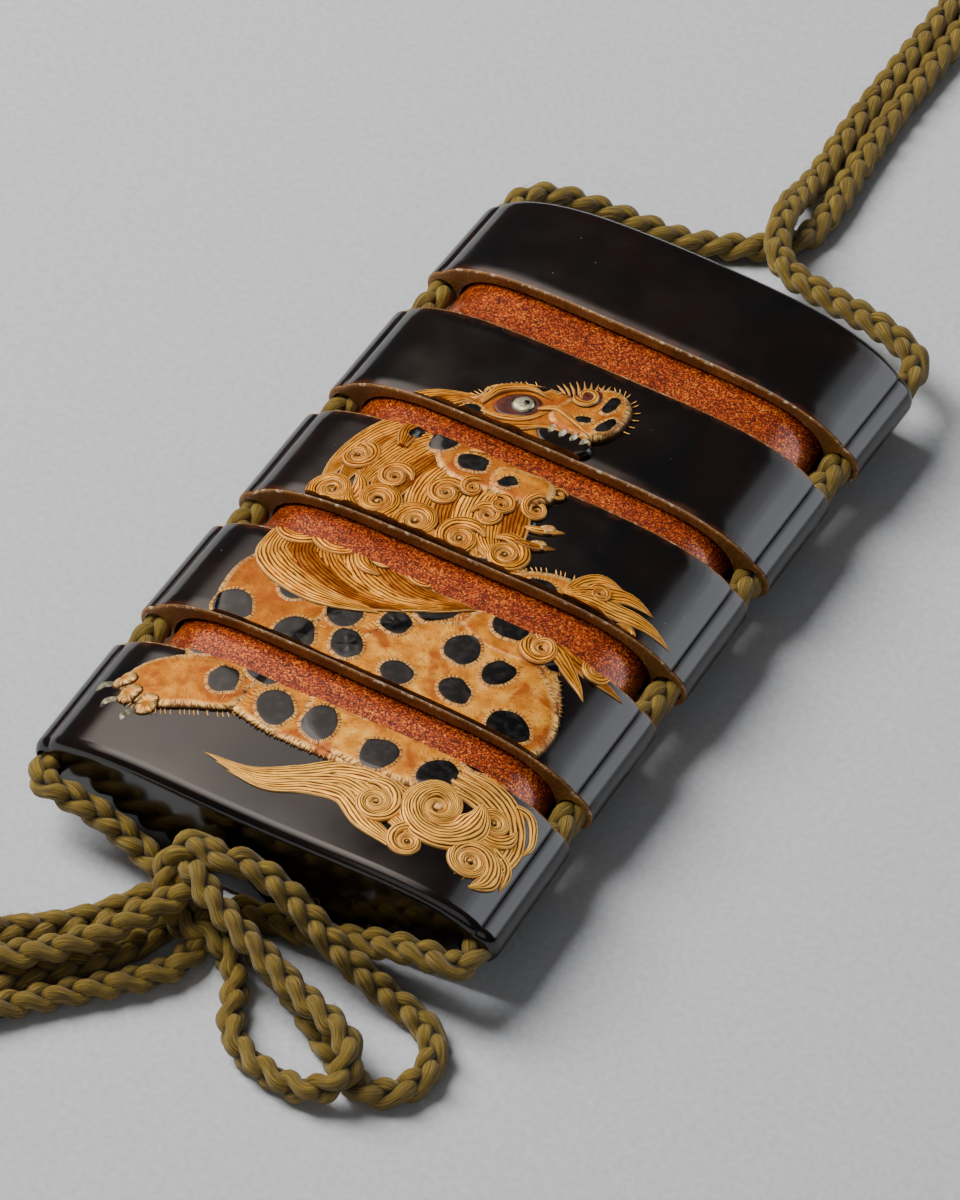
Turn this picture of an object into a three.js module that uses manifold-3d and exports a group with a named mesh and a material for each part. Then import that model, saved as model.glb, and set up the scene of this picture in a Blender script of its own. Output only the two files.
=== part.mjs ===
// Inro: a flat lacquer case of four stacked compartments and a lid, threaded on one silk cord. It lies
// on its back, front face up, with the sections drawn a few millimetres apart along the cord.
// Millimetres, +X across the width, +Y towards the lid, +Z up. The origin is the middle of the case's
// footprint, on the surface that it lies on.
import * as THREE from 'three';
import { mergeVertices } from 'three/addons/utils/BufferGeometryUtils.js';
import Module from 'manifold-3d';

const wasm = await Module();
wasm.setup();

// Section of the case: two shallow lens-shaped faces that fall into a valley before a round bead on
// each side.
const HALF_WIDTH = 28;
const FACE_HEIGHT = 6.85; // from the middle plane to the crown of either face
const VALLEY_X = 26;
const VALLEY_HEIGHT = 2.65;
const LENS_POWER = 4.2;
const LENS_FALL = 0.746;
const BEAD_RADIUS = 2.85;
const BEAD_X = HALF_WIDTH - BEAD_RADIUS;
const BACK_FLAT = 0.1; // depth of the rest worn flat on the crown of the back
const MIDDLE_Z = FACE_HEIGHT - BACK_FLAT;

// Cord channels in the beads.
const CHANNEL_X = 25.65;
const CHANNEL_RADIUS = 1.7;

// Sections, lid to bottom. Each is given by the height of its wall, the place of its lower rim in the
// drawn-out stack, and the small turn and sideways slip that a loose section has on its cord.
const CASE_HEIGHT = 14.1;
const BOTTOM_HEIGHT = 15;
const LID_HEIGHT = 12.1;
const SECTIONS = [
  { name: 'lid', height: LID_HEIGHT, y: 33.4, x: 0.1, turn: -1 },
  { name: 'upper_case', height: CASE_HEIGHT, y: 12.7, x: -0.1, turn: -0.1 },
  { name: 'second_case', height: CASE_HEIGHT, y: -5.8, x: -0.15, turn: 0.6 },
  { name: 'third_case', height: CASE_HEIGHT, y: -25.7, x: -0.25, turn: 0.2 },
  { name: 'bottom_case', height: BOTTOM_HEIGHT, y: -46, x: 0.3, turn: 1.4 },
];
let seam = 0; // height of each section's lower rim in the closed stack
for (const section of SECTIONS.toReversed()) {
  section.seam = seam;
  seam += section.height;
}
const RIM_CHAMFER = 0.3;
const END_ROUND = 1.3; // rounding round the lid's top and the bottom case's end
const END_DOME = 1.5; // how far the middle of those ends stands beyond their corners

// Risers and what they plug into.
const RISER_HALF_WIDTH = 23.1;
const RISER_HALF_DEPTH = 5.05;
const RISER_HEIGHT = 8.6;
const RISER_SQUARENESS = 6;
const RISER_WALL = 1.2;
const FIT_GAP = 0.3; // over the risers' faces
const SIDE_GAP = 0.5; // at their ends, which lets a section slip sideways
const SKIRT_DEPTH = 9.2;
const LID_DEPTH = 10.6;
const FLOOR = 1.4;

// Silk cord, drawn at the radius that its braid has where it is squeezed into the channels.
const CORD_RADIUS = 1.35;
const CORD_SIDES = 8;
const CORD_GAP = 0.35; // between a length of cord and what it runs into
const CHANNEL_END = 0.3; // how far short of the ends' rounding the channel lengths stop

const SMALLEST_EDGE = 0.01; // slivers that the cuts leave are closed up to this
const OVERRUN = 6; // how far a cutter runs on past what it cuts

const lacquer = { color: 0x1a1312, roughness: 0.12, metalness: 0 };
const silk = { color: 0x7a6426, roughness: 0.75, metalness: 0 };

// ---- solids

function toSolid(geometry) {
  geometry.deleteAttribute('normal');
  geometry.deleteAttribute('uv');
  const merged = mergeVertices(geometry, 1e-4);
  return new wasm.Manifold(new wasm.Mesh({
    numProp: 3,
    vertProperties: new Float32Array(merged.attributes.position.array),
    triVerts: new Uint32Array(merged.index.array),
  }));
}

function toMesh(name, solid, finish) {
  const { vertProperties, triVerts } = solid.simplify(SMALLEST_EDGE).getMesh();
  const geometry = new THREE.BufferGeometry();
  geometry.setAttribute('position', new THREE.BufferAttribute(new Float32Array(vertProperties), 3));
  geometry.setIndex(new THREE.BufferAttribute(new Uint32Array(triVerts), 1));
  geometry.computeVertexNormals();
  return namedMesh(name, geometry, finish);
}

function namedMesh(name, geometry, finish) {
  const mesh = new THREE.Mesh(geometry, new THREE.MeshStandardMaterial(finish));
  mesh.name = name;
  return mesh;
}

// A straight prism along Y from an outline in X and Z.
function prismAlongY(outline, from, to) {
  const shape = new THREE.Shape(outline);
  const prism = new THREE.ExtrudeGeometry(shape, { depth: to - from, bevelEnabled: false });
  prism.rotateX(Math.PI / 2);
  prism.translate(0, to, 0);
  return toSolid(prism);
}

// A closed body through rings that all have the same number of points.
function loft(rings) {
  const count = rings[0].length;
  const positions = rings.flat().flatMap((point) => [point.x, point.y, point.z]);
  const index = [];
  for (let ring = 0; ring + 1 < rings.length; ring += 1) {
    for (let side = 0; side < count; side += 1) {
      const next = (side + 1) % count;
      const [a, b] = [ring * count + side, ring * count + next];
      const [c, d] = [b + count, a + count];
      index.push(a, c, b, a, d, c);
    }
  }
  const flat = (ring) => ring.map((point) => new THREE.Vector2(point.x, point.z));
  const last = (rings.length - 1) * count;
  for (const [a, b, c] of THREE.ShapeUtils.triangulateShape(flat(rings[0]), [])) index.push(a, b, c);
  for (const [a, b, c] of THREE.ShapeUtils.triangulateShape(flat(rings.at(-1)), [])) {
    index.push(last + a, last + c, last + b);
  }
  const geometry = new THREE.BufferGeometry();
  geometry.setAttribute('position', new THREE.Float32BufferAttribute(positions, 3));
  geometry.setIndex(index);
  return toSolid(geometry);
}

// ---- outlines in X and Z, anticlockwise seen from the bottom end

function lensHeight(x) {
  const out = Math.min(Math.abs(x) / VALLEY_X, 1);
  return VALLEY_HEIGHT + (FACE_HEIGHT - VALLEY_HEIGHT) * (1 - out ** LENS_POWER) ** LENS_FALL;
}

function caseOutline() {
  const faceSteps = 24;
  const beadSteps = 8;
  const beadFrom = Math.atan2(VALLEY_HEIGHT, VALLEY_X - BEAD_X);
  const half = [];
  for (let step = 0; step <= beadSteps; step += 1) {
    const angle = -beadFrom + (2 * beadFrom * step) / beadSteps;
    half.push(new THREE.Vector2(BEAD_X + BEAD_RADIUS * Math.cos(angle), BEAD_RADIUS * Math.sin(angle)));
  }
  for (let step = 1; step < faceSteps; step += 1) {
    const x = VALLEY_X * Math.cos((Math.PI * step) / faceSteps);
    half.push(new THREE.Vector2(x, lensHeight(x)));
  }
  return [...half, ...half.map((point) => point.clone().negate())];
}

// The outline moved inwards along its own normals.
function inset(outline, distance) {
  return outline.map((point, index) => {
    const before = outline.at(index - 1);
    const after = outline[(index + 1) % outline.length];
    const along = after.clone().sub(before).normalize();
    return new THREE.Vector2(point.x - along.y * distance, point.y + along.x * distance);
  });
}

function riserOutline(growWidth, growDepth) {
  const steps = 22;
  const [a, b] = [RISER_HALF_WIDTH + growWidth, RISER_HALF_DEPTH + growDepth];
  const half = [];
  for (let step = 0; step < steps; step += 1) {
    const x = a * Math.cos((Math.PI * step) / steps);
    half.push(new THREE.Vector2(x, b * Math.sqrt(1 - Math.abs(x / a) ** RISER_SQUARENESS)));
  }
  return [...half, ...half.map((point) => point.clone().negate())];
}

// ---- the sections

const endDome = (x) => END_DOME * (1 - (x / HALF_WIDTH) ** 2);
const ringAt = (outline, height) => outline.map((p) => new THREE.Vector3(p.x, height(p.x), p.y));

// The rings of a plain rim, or of a rounded and domed end, from the wall outwards. `way` is +1 for an
// end that faces the lid's side and -1 for one that faces the other way.
function endRings(outline, y, way, domed) {
  if (!domed) {
    return [
      ringAt(outline, () => y - way * RIM_CHAMFER),
      ringAt(inset(outline, RIM_CHAMFER), () => y),
    ];
  }
  return [0, 30, 60, 90].map((degrees) => {
    const angle = THREE.MathUtils.degToRad(degrees);
    const drawn = inset(outline, END_ROUND * (1 - Math.cos(angle)));
    return ringAt(drawn, (x) => y + way * (END_ROUND * Math.sin(angle) + endDome(x)));
  });
}

function sectionBody(section) {
  const outline = caseOutline();
  const below = endRings(outline, 0, -1, section.name === 'bottom_case').reverse();
  const above = endRings(outline, section.height, 1, section.name === 'lid');
  return loft([...below, ...above]);
}

function channel(side, section) {
  const bore = new THREE.CylinderGeometry(CHANNEL_RADIUS, CHANNEL_RADIUS, section.height + 2 * OVERRUN, 16);
  bore.translate(side * CHANNEL_X, section.height / 2, 0);
  return toSolid(bore);
}

// ---- the raised figure on the front: a seated lion-dog, given closed up, with y from the bottom
// case's lower rim. Each mass stands its own height proud of the face.

const disc = (x, y, radius) => [0, 60, 120, 180, 240, 300].map((degrees) => {
  const angle = THREE.MathUtils.degToRad(degrees);
  return [x + radius * Math.cos(angle), y + radius * Math.sin(angle)];
});

const LION = [
  { // torso
    height: 0.4,
    outline: [[-18, 26], [-20, 19.5], [-16.5, 12.5], [-8, 8.8], [3, 8.2], [13, 9.4], [19.5, 13.5],
      [21, 19.5], [17.5, 26], [9, 30.5], [-5, 31.5]],
  },
  { // paw on the ground
    height: 0.55,
    outline: [[-24.6, 6.6], [-22.6, 11.6], [-16, 15], [-9.5, 14], [-8.5, 9.5], [-15, 7.4], [-20.5, 4]],
  },
  { // mane
    height: 0.65,
    outline: [[-13, 42.5], [-17.2, 37], [-20.3, 31], [-18, 25.5], [-10, 22.6], [-1, 24.5], [4.5, 29],
      [5.5, 36], [2, 42], [-5.5, 44.5]],
  },
  { // head
    height: 0.85,
    outline: [[-11.4, 43], [-10.2, 47], [-6.6, 50.6], [-2.6, 53.6], [1.8, 54.8], [5.2, 52.6], [5.4, 48],
      [3.6, 44], [3.4, 39.6], [-2, 37], [-8, 38]],
  },
  { // raised forepaw and its tufts
    height: 0.6,
    outline: [[7, 27], [10.5, 31.4], [15.5, 33], [20.5, 31.6], [25.2, 29.6], [20.8, 26.6], [16.5, 23.6],
      [11, 23]],
  },
  { // lock that leaves the tail
    height: 0.5,
    outline: [[10, 8], [11, 2], [7.6, 1.2], [3.4, 3.2], [-3.4, 1.6], [-9.4, 2.2], [-2.6, 4.2], [1.4, 7],
      [5.6, 8.8]],
  },
  { height: 0.6, outline: disc(20, 4.6, 4.4) }, // small swirl of the tail
  { height: 0.8, outline: disc(15.4, 7.4, 6) }, // large swirl of the tail
];
const OUTLINE_STEPS = 3; // pieces of the smooth outline for each point that it is given by

// One mass over one section, standing proud of its face.
function relief(mass, section) {
  const through = mass.outline.map(([x, y]) => new THREE.Vector3(x, y - section.seam, 0));
  const smooth = new THREE.CatmullRomCurve3(through, true, 'centripetal');
  const outline = smooth.getPoints(through.length * OUTLINE_STEPS).slice(0, -1);
  const shape = new THREE.Shape(outline.map((point) => new THREE.Vector2(point.x, point.y)));
  const block = new THREE.ExtrudeGeometry(shape, { depth: 2 * FACE_HEIGHT, bevelEnabled: false });
  const proud = inset(caseOutline(), -mass.height);
  return toSolid(block).intersect(prismAlongY(proud, RIM_CHAMFER, section.height - RIM_CHAMFER));
}

function buildSection(section) {
  let body = sectionBody(section);
  if (section.name !== 'lid') {
    for (const mass of LION) body = body.add(relief(mass, section));
    const riserTop = section.height + RISER_HEIGHT;
    body = body.add(prismAlongY(riserOutline(0, 0), section.height - 2 * RIM_CHAMFER, riserTop));
    const floorTop = section.name === 'bottom_case' ? FLOOR : SKIRT_DEPTH + FLOOR;
    body = body.subtract(prismAlongY(riserOutline(-RISER_WALL, -RISER_WALL), floorTop, riserTop + OVERRUN));
  }
  if (section.name !== 'bottom_case') {
    const depth = section.name === 'lid' ? LID_DEPTH : SKIRT_DEPTH;
    body = body.subtract(prismAlongY(riserOutline(SIDE_GAP, FIT_GAP), -OVERRUN, depth));
  }
  for (const side of [-1, 1]) body = body.subtract(channel(side, section));
  const under = new THREE.BoxGeometry(4 * HALF_WIDTH, 8 * CASE_HEIGHT, OVERRUN);
  under.translate(0, 0, -MIDDLE_Z - OVERRUN / 2);
  const mesh = toMesh(section.name, body.subtract(toSolid(under)), lacquer);
  mesh.position.set(section.x, section.y, MIDDLE_Z);
  mesh.rotation.z = THREE.MathUtils.degToRad(section.turn);
  mesh.updateMatrix();
  return mesh;
}

// ---- the cord

function cordSolid(points, steps) {
  const section = new THREE.Shape(Array.from({ length: CORD_SIDES }, (_, side) => {
    const angle = (2 * Math.PI * side) / CORD_SIDES;
    return new THREE.Vector2(CORD_RADIUS * Math.cos(angle), CORD_RADIUS * Math.sin(angle));
  }));
  const path = new THREE.CatmullRomCurve3(points.map((point) => new THREE.Vector3(...point)), false,
    'centripetal');
  return toSolid(new THREE.ExtrudeGeometry(section, { steps, bevelEnabled: false, extrudePath: path }));
}

function knotSolid({ centre, radii }, grow) {
  const knot = new THREE.SphereGeometry(1, 14, 8);
  knot.scale(...radii.map((radius) => radius + grow));
  knot.translate(...centre);
  return toSolid(knot);
}

// The cord through the channels of one side, from the bottom case's end to the lid's.
function channelCord(side, meshes) {
  const stops = meshes.flatMap((mesh, index) => {
    const { name, height } = SECTIONS[index];
    const from = name === 'bottom_case' ? CHANNEL_END : 0;
    const to = name === 'lid' ? height - CHANNEL_END : height;
    return [to, from].map((y) => new THREE.Vector3(side * CHANNEL_X, y, 0).applyMatrix4(mesh.matrix));
  });
  return stops.map((stop) => stop.toArray());
}

// Free lengths of the cord. Each is a list of points chosen by hand along its route.
const BOW_KNOT = { centre: [-2.8, -54, 4.9], radii: [4.4, 3.2, 4.9] };
const END_KNOT = { centre: [1, 123.6, 3.4], radii: [4.4, 4.6, 3.4] };
const FREE_CORDS = [
  {
    name: 'bow_left_lead',
    steps: 6,
    points: [[-25.3, -46.7, 6.75], [-25.3, -49.1, 6.8], [-24.4, -50.5, 6.8], [-22, -50.7, 6.7],
      [-19, -50.6, 6.1], [-16, -50.6, 5.2], [-13, -50.9, 4.2], [-9.8, -51.6, 3.2], [-6, -52.6, 2.4]],
  },
  {
    name: 'bow_right_lead',
    steps: 6,
    points: [[26, -45.6, 6.75], [26.2, -48.6, 6.8], [25.1, -50, 6.9], [22.4, -50, 6.8],
      [18.6, -50.1, 6], [14.6, -50.3, 4.5], [10.8, -50.5, 3], [7, -50.6, 1.9], [3.4, -50.6, 1.5],
      [0.2, -51.2, 1.5]],
  },
  {
    name: 'bow_loop_large',
    steps: 11,
    points: [[-1.6, -52, 8.9], [0.6, -51.1, 9.4], [3.4, -51, 9], [6.4, -51.4, 8.1], [9.4, -52.1, 7],
      [12.4, -52.9, 5.9], [15.4, -53.3, 4.4], [18.4, -53.4, 2.8], [21, -53.6, 1.8],
      [23.8, -54.1, 1.5], [26.2, -55.6, 1.5], [27.6, -58, 1.5], [27.7, -60.9, 1.5],
      [26.3, -63.5, 1.5], [23.8, -64.7, 1.5], [21.2, -64, 1.5], [18.5, -62.4, 1.5],
      [15.4, -60.5, 1.5], [12.2, -58.5, 1.5], [9, -56.8, 1.5], [5.8, -55.2, 1.5], [2.4, -53.9, 1.5]],
  },
  {
    name: 'bow_loop_small',
    steps: 10,
    points: [[-3, -54, 8.6], [-0.6, -55.6, 8.2], [3, -56.9, 7.3], [6.2, -57.8, 6.5],
      [9.6, -58.8, 5.6], [13, -59.8, 5], [16.4, -60.8, 4.9], [19.2, -61.8, 4.8], [21.4, -63.8, 4.5],
      [21.4, -66.3, 3.3], [18.6, -68, 1.9], [14.6, -68, 1.5], [10.8, -67.1, 1.5],
      [7.8, -65, 1.5], [6.2, -62.2, 1.5], [5, -59.7, 1.5], [3.1, -57.7, 1.8], [0.6, -56, 2.4]],
  },
  {
    name: 'bow_loop_outer',
    steps: 12,
    points: [[-4, -53.4, 4.9], [-6.5, -55, 4.4], [-9, -57.3, 3.3], [-11.4, -59.6, 2.3],
      [-14, -61.8, 1.7], [-16.8, -64, 1.5], [-19.8, -66.2, 1.5], [-23.2, -68.4, 1.5],
      [-26.6, -71.4, 1.5], [-28.3, -75.6, 1.5], [-26.8, -79.8, 1.5], [-22.8, -81.8, 1.5],
      [-18.6, -79.9, 1.5], [-15.4, -76.3, 1.5], [-12.9, -73.3, 1.5], [-10.4, -70.7, 1.5],
      [-7.8, -68.1, 1.5], [-5.1, -65.5, 1.5], [-2.7, -62.8, 1.5], [-1.3, -60.1, 1.5],
      [-1.3, -57.8, 1.6], [-2, -55.6, 2.2]],
  },
  {
    name: 'bow_loop_inner',
    steps: 10,
    points: [[-3.2, -54.6, 6.2], [-5, -57.4, 6], [-7, -60.6, 5.5], [-9.2, -63.8, 5],
      [-11.6, -66.8, 4.7], [-14.4, -69.2, 4.4], [-17.6, -70.6, 3.4], [-20.8, -71.1, 2],
      [-23.8, -72.5, 1.5], [-25, -75.3, 1.5], [-23.2, -77.8, 1.5], [-20.4, -77.2, 1.5],
      [-18.4, -74.4, 1.5], [-16.2, -71.7, 1.5], [-13.8, -69.2, 1.5], [-11.2, -66.7, 1.5],
      [-8.8, -64, 1.5], [-6.9, -61.2, 1.5], [-5.8, -58.6, 1.5], [-5.2, -56, 1.7]],
  },
  {
    name: 'left_top_cord',
    steps: 12,
    points: [[-25.3, 46.2, 6.75], [-25.5, 50, 6.8], [-24.9, 52.2, 6.6], [-22.6, 54.6, 5.8],
      [-18.4, 56.6, 4.3], [-13.6, 58.1, 2.9], [-8.4, 59.4, 1.9], [-3.6, 61.6, 1.5], [0.6, 64.2, 1.5],
      [3.2, 67.4, 1.5], [3.7, 72, 1.5], [3, 80, 1.5], [2.4, 89.7, 1.5], [2.4, 98, 1.5],
      [2.5, 106.6, 1.5], [2.7, 114, 1.5], [2.7, 119, 1.8], [2.2, 122.5, 2.8]],
  },
  {
    name: 'right_top_cord',
    steps: 12,
    points: [[26, 45.5, 6.75], [26.3, 49.4, 6.8], [25.3, 51.7, 6.9], [22, 53.3, 7], [18.2, 54.6, 6.6],
      [14.4, 55.6, 6.1], [10.6, 56.6, 5.6], [7, 57.7, 5.2], [4.1, 59.5, 5], [2.2, 62.2, 4.9],
      [1.1, 65.4, 4.9], [0.3, 68.8, 4.1], [-0.1, 72.6, 2.5], [-0.3, 77, 1.5], [-0.6, 83, 1.5],
      [-0.8, 89.7, 1.5], [-0.8, 98, 1.5], [-0.7, 106.6, 1.5], [-0.7, 114, 1.5], [-0.7, 119, 1.8],
      [-0.2, 122.5, 2.8]],
  },
];

const inro = new THREE.Group();
for (const section of SECTIONS) inro.add(buildSection(section));
const cases = [...inro.children];
for (const [name, side] of [['left_channel_cord', -1], ['right_channel_cord', 1]]) {
  const steps = SECTIONS.length;
  inro.add(toMesh(name, cordSolid(channelCord(side, cases), steps), silk));
}
const knots = [BOW_KNOT, END_KNOT].map((knot) => knotSolid(knot, CORD_GAP));
for (const { name, points, steps } of FREE_CORDS) {
  const length = knots.reduce((cord, knot) => cord.subtract(knot), cordSolid(points, steps));
  inro.add(toMesh(name, length, silk));
}
inro.add(toMesh('bow_knot', knotSolid(BOW_KNOT, 0), silk), toMesh('end_knot', knotSolid(END_KNOT, 0), silk));

export default inro;
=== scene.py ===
"""An inro case of black lacquer with a raised gold lion-dog, lying on its back with its sections drawn
apart on a braided silk cord. Sizes are in millimetres until a piece is finished, +Y towards the lid and
+Z out of the front."""
import math
import random

import bmesh
import bpy
from mathutils import Matrix, Vector, noise
from mathutils.bvhtree import BVHTree


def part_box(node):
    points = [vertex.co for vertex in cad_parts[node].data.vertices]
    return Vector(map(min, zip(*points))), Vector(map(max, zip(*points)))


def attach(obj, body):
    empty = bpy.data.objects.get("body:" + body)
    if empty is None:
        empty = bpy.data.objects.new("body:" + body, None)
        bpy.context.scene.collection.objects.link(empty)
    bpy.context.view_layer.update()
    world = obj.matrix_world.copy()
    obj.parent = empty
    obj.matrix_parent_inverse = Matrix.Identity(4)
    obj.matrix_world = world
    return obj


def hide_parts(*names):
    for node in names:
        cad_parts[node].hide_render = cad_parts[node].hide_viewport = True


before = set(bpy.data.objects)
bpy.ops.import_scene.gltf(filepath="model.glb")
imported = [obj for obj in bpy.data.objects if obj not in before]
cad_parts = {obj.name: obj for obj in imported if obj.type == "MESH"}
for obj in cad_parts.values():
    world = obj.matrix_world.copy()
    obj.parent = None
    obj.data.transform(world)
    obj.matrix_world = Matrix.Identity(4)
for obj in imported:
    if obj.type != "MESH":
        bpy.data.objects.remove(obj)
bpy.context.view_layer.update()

MM = 0.001
SEED = 17

# ---- the case's dimensions, as in the solids

HALF_WIDTH = 28.0
FACE_HEIGHT = 6.85
VALLEY_X = 26.0
VALLEY_HEIGHT = 2.65
LENS_POWER = 4.2
LENS_FALL = 0.746
BEAD_RADIUS = 2.85
BEAD_X = HALF_WIDTH - BEAD_RADIUS
BACK_FLAT = 0.1
MIDDLE_Z = FACE_HEIGHT - BACK_FLAT
CHANNEL_X = 25.65
CHANNEL_RADIUS = 1.7
CASE_HEIGHT = 14.1
BOTTOM_HEIGHT = 15.0
LID_HEIGHT = 12.1
RIM_ROUND = 0.3
END_ROUND = 1.3
END_DOME = 1.5
RISER_HALF_WIDTH = 23.1
RISER_HALF_DEPTH = 5.05
RISER_HEIGHT = 8.6
RISER_SQUARENESS = 6
RISER_WALL = 1.2
FIT_GAP = 0.3
SIDE_GAP = 0.5
SKIRT_DEPTH = 9.2
LID_DEPTH = 10.6
FLOOR = 1.4
CORD_THICKNESS = 3.0

# Name, wall height, and the drawn-out place of each section: sideways slip, lower rim and turn.
SECTIONS = [
    ("bottom_case", BOTTOM_HEIGHT, 0.3, -46.0, 1.4),
    ("third_case", CASE_HEIGHT, -0.25, -25.7, 0.2),
    ("second_case", CASE_HEIGHT, -0.15, -5.8, 0.6),
    ("upper_case", CASE_HEIGHT, -0.1, 12.7, -0.1),
    ("lid", LID_HEIGHT, 0.1, 33.4, -1.0),
]


def place(section):
    """The matrix that takes a section from its own frame to its place in the drawn-out stack."""
    _, _, x, y, turn = section
    return Matrix.Translation((x, y, MIDDLE_Z)) @ Matrix.Rotation(math.radians(turn), 4, "Z")


# ---- materials

def colour(text):
    """An sRGB hex colour as linear RGBA."""
    channels = [int(text[i:i + 2], 16) / 255 for i in (1, 3, 5)]
    return [c / 12.92 if c <= 0.04045 else ((c + 0.055) / 1.055) ** 2.4 for c in channels] + [1.0]


def put(node, *by_place, **by_name):
    """Fills a node's inputs by their places or names. A value is set, and a socket or a node is linked."""
    inputs = [(name.replace("_", " "), value) for name, value in by_name.items()]
    for key, value in [*enumerate(by_place), *inputs]:
        if isinstance(value, bpy.types.Node):
            value = value.outputs[0]
        if isinstance(value, bpy.types.NodeSocket):
            node.id_data.links.new(value, node.inputs[key])
        else:
            node.inputs[key].default_value = value


def add(tree, kind, *by_place, stops=(), **named):
    """Adds a node. Names in lower case are its settings, the other values its inputs, `stops` a ramp's."""
    node = tree.nodes.new("ShaderNode" + kind)
    for name in [name for name in named if name.islower()]:
        setattr(node, name, named.pop(name))
    while stops and len(node.color_ramp.elements) < len(stops):
        node.color_ramp.elements.new(0.5)
    for i, (position, text) in enumerate(stops):
        node.color_ramp.elements[i].position = position
        node.color_ramp.elements[i].color = colour(text)
    put(node, *by_place, **named)
    return node


def material(name, **values):
    """A new material with its tree and shader, the shader's plain values set on its own sockets."""
    made = bpy.data.materials.new(name)
    made.use_nodes = True
    shader = made.node_tree.nodes["Principled BSDF"]
    put(shader, **values)
    return made, made.node_tree, shader


def overlay(tree, under, over, where, start, end, most=1.0):
    """One colour laid over another as a value goes from start to end, up to this share."""
    share = add(tree, "MapRange", where, From_Min=start, From_Max=end, To_Max=most)
    return add(tree, "MixRGB", share, under, over)


def grain(size_mm):
    """The noise scale, per metre, whose features are about this size."""
    return 1 / (size_mm * MM)


def black_lacquer():
    """Roiro, many coats of black urushi polished with charcoal and oil: near-black with a warm brown
    depth, mirror-like, and worn through to brown along its arrises."""
    made, tree, shader = material("polished_black_urushi", IOR=1.54)
    place_on = add(tree, "TexCoord").outputs["Object"]
    edge = add(tree, "Attribute", attribute_name="edge").outputs["Fac"]
    depth = add(tree, "TexNoise", place_on, Scale=grain(9), Detail=3.0)
    ground = add(tree, "ValToRGB", depth, stops=[(0.35, "#0b0909"), (0.75, "#1c0f0a")])
    worn = add(tree, "TexNoise", place_on, Scale=grain(1.4), Detail=4.0)
    wear = add(tree, "Math", edge, worn, operation="MULTIPLY")
    brown = overlay(tree, ground, colour("#4a2412"), wear, 0.3, 0.75)
    dust = add(tree, "TexVoronoi", place_on, Scale=grain(2.6), Randomness=1.0)
    dusty = overlay(tree, brown, colour("#6f6a66"), dust, 0.03, 0.018)
    handling = add(tree, "TexNoise", place_on, Scale=grain(5), Detail=6.0)
    gloss = add(tree, "MapRange", handling, From_Min=0.3, From_Max=0.8, To_Min=0.1, To_Max=0.2)
    ripple = add(tree, "TexNoise", place_on, Scale=grain(3.5), Detail=2.0)
    bump = add(tree, "Bump", Height=ripple, Distance=0.01 * MM, Strength=0.35)
    put(shader, Base_Color=dusty, Roughness=gloss, Normal=bump)
    return made


def rim_lacquer():
    """The rims: brown lacquer dusted with gold powder, rubbed satin by opening and closing, and chipped
    to the pale ground along its arrises."""
    made, tree, shader = material("gold_dusted_rim", Roughness=0.5, Metallic=0.2)
    place_on = add(tree, "TexCoord").outputs["Object"]
    edge = add(tree, "Attribute", attribute_name="edge").outputs["Fac"]
    powder = add(tree, "TexNoise", place_on, Scale=grain(0.25), Detail=3.0)
    cloud = add(tree, "TexNoise", place_on, Scale=grain(6), Detail=3.0)
    both = add(tree, "Math", powder, cloud, operation="MULTIPLY")
    ground = add(tree, "ValToRGB", both, stops=[(0.12, "#5c3b18"), (0.26, "#84582a"), (0.42, "#a67a40")])
    chip = add(tree, "TexNoise", place_on, Scale=grain(0.7), Detail=5.0, Roughness=0.6)
    wear = add(tree, "Math", edge, chip, operation="MULTIPLY")
    chipped = overlay(tree, ground, colour("#c2ab8a"), wear, 0.56, 0.64)
    bump = add(tree, "Bump", Height=chip, Distance=0.08 * MM, Strength=0.5)
    put(shader, Base_Color=chipped, Normal=bump)
    return made


def nashiji():
    """Nashiji: flakes of gold foil sprinkled at all tilts under clear orange-brown lacquer and one smooth
    glossy skin. Each flake's glint or darkness is painted into its colour at random: painted glints."""
    flake_mm = 0.15
    made, tree, shader = material("gold_flake_nashiji", Roughness=0.38, Metallic=0.5, Coat_Weight=0.45,
                                  Coat_Roughness=0.12)
    place_on = add(tree, "TexCoord").outputs["Object"]
    flake = add(tree, "TexVoronoi", place_on, Scale=grain(flake_mm), Randomness=1.0)
    tilt_and_glint = add(tree, "SeparateColor", flake.outputs["Color"])
    cloud = add(tree, "TexNoise", place_on, Scale=grain(3), Detail=2.0)
    patchy = add(tree, "MapRange", cloud, To_Min=0.3, To_Max=0.7)
    glint_and_density = add(tree, "Math", tilt_and_glint, patchy, operation="ADD")
    # Painted glints: each flake's random tilt is painted into its colour as a bright glint or a dark flake,
    # over clouds of denser and thinner flakes.
    glow = add(tree, "ValToRGB", add(tree, "MapRange", glint_and_density, From_Min=0.35, From_Max=1.6),
               stops=[(0.0, "#280802"), (0.35, "#601b03"), (0.6, "#943004"), (0.82, "#d05c0c"),
                      (1.0, "#ffa430")])
    bump = add(tree, "Bump", Height=tilt_and_glint.outputs[1], Distance=0.06 * MM, Strength=0.5)
    put(shader, Base_Color=glow, Normal=bump)
    return made


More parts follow.
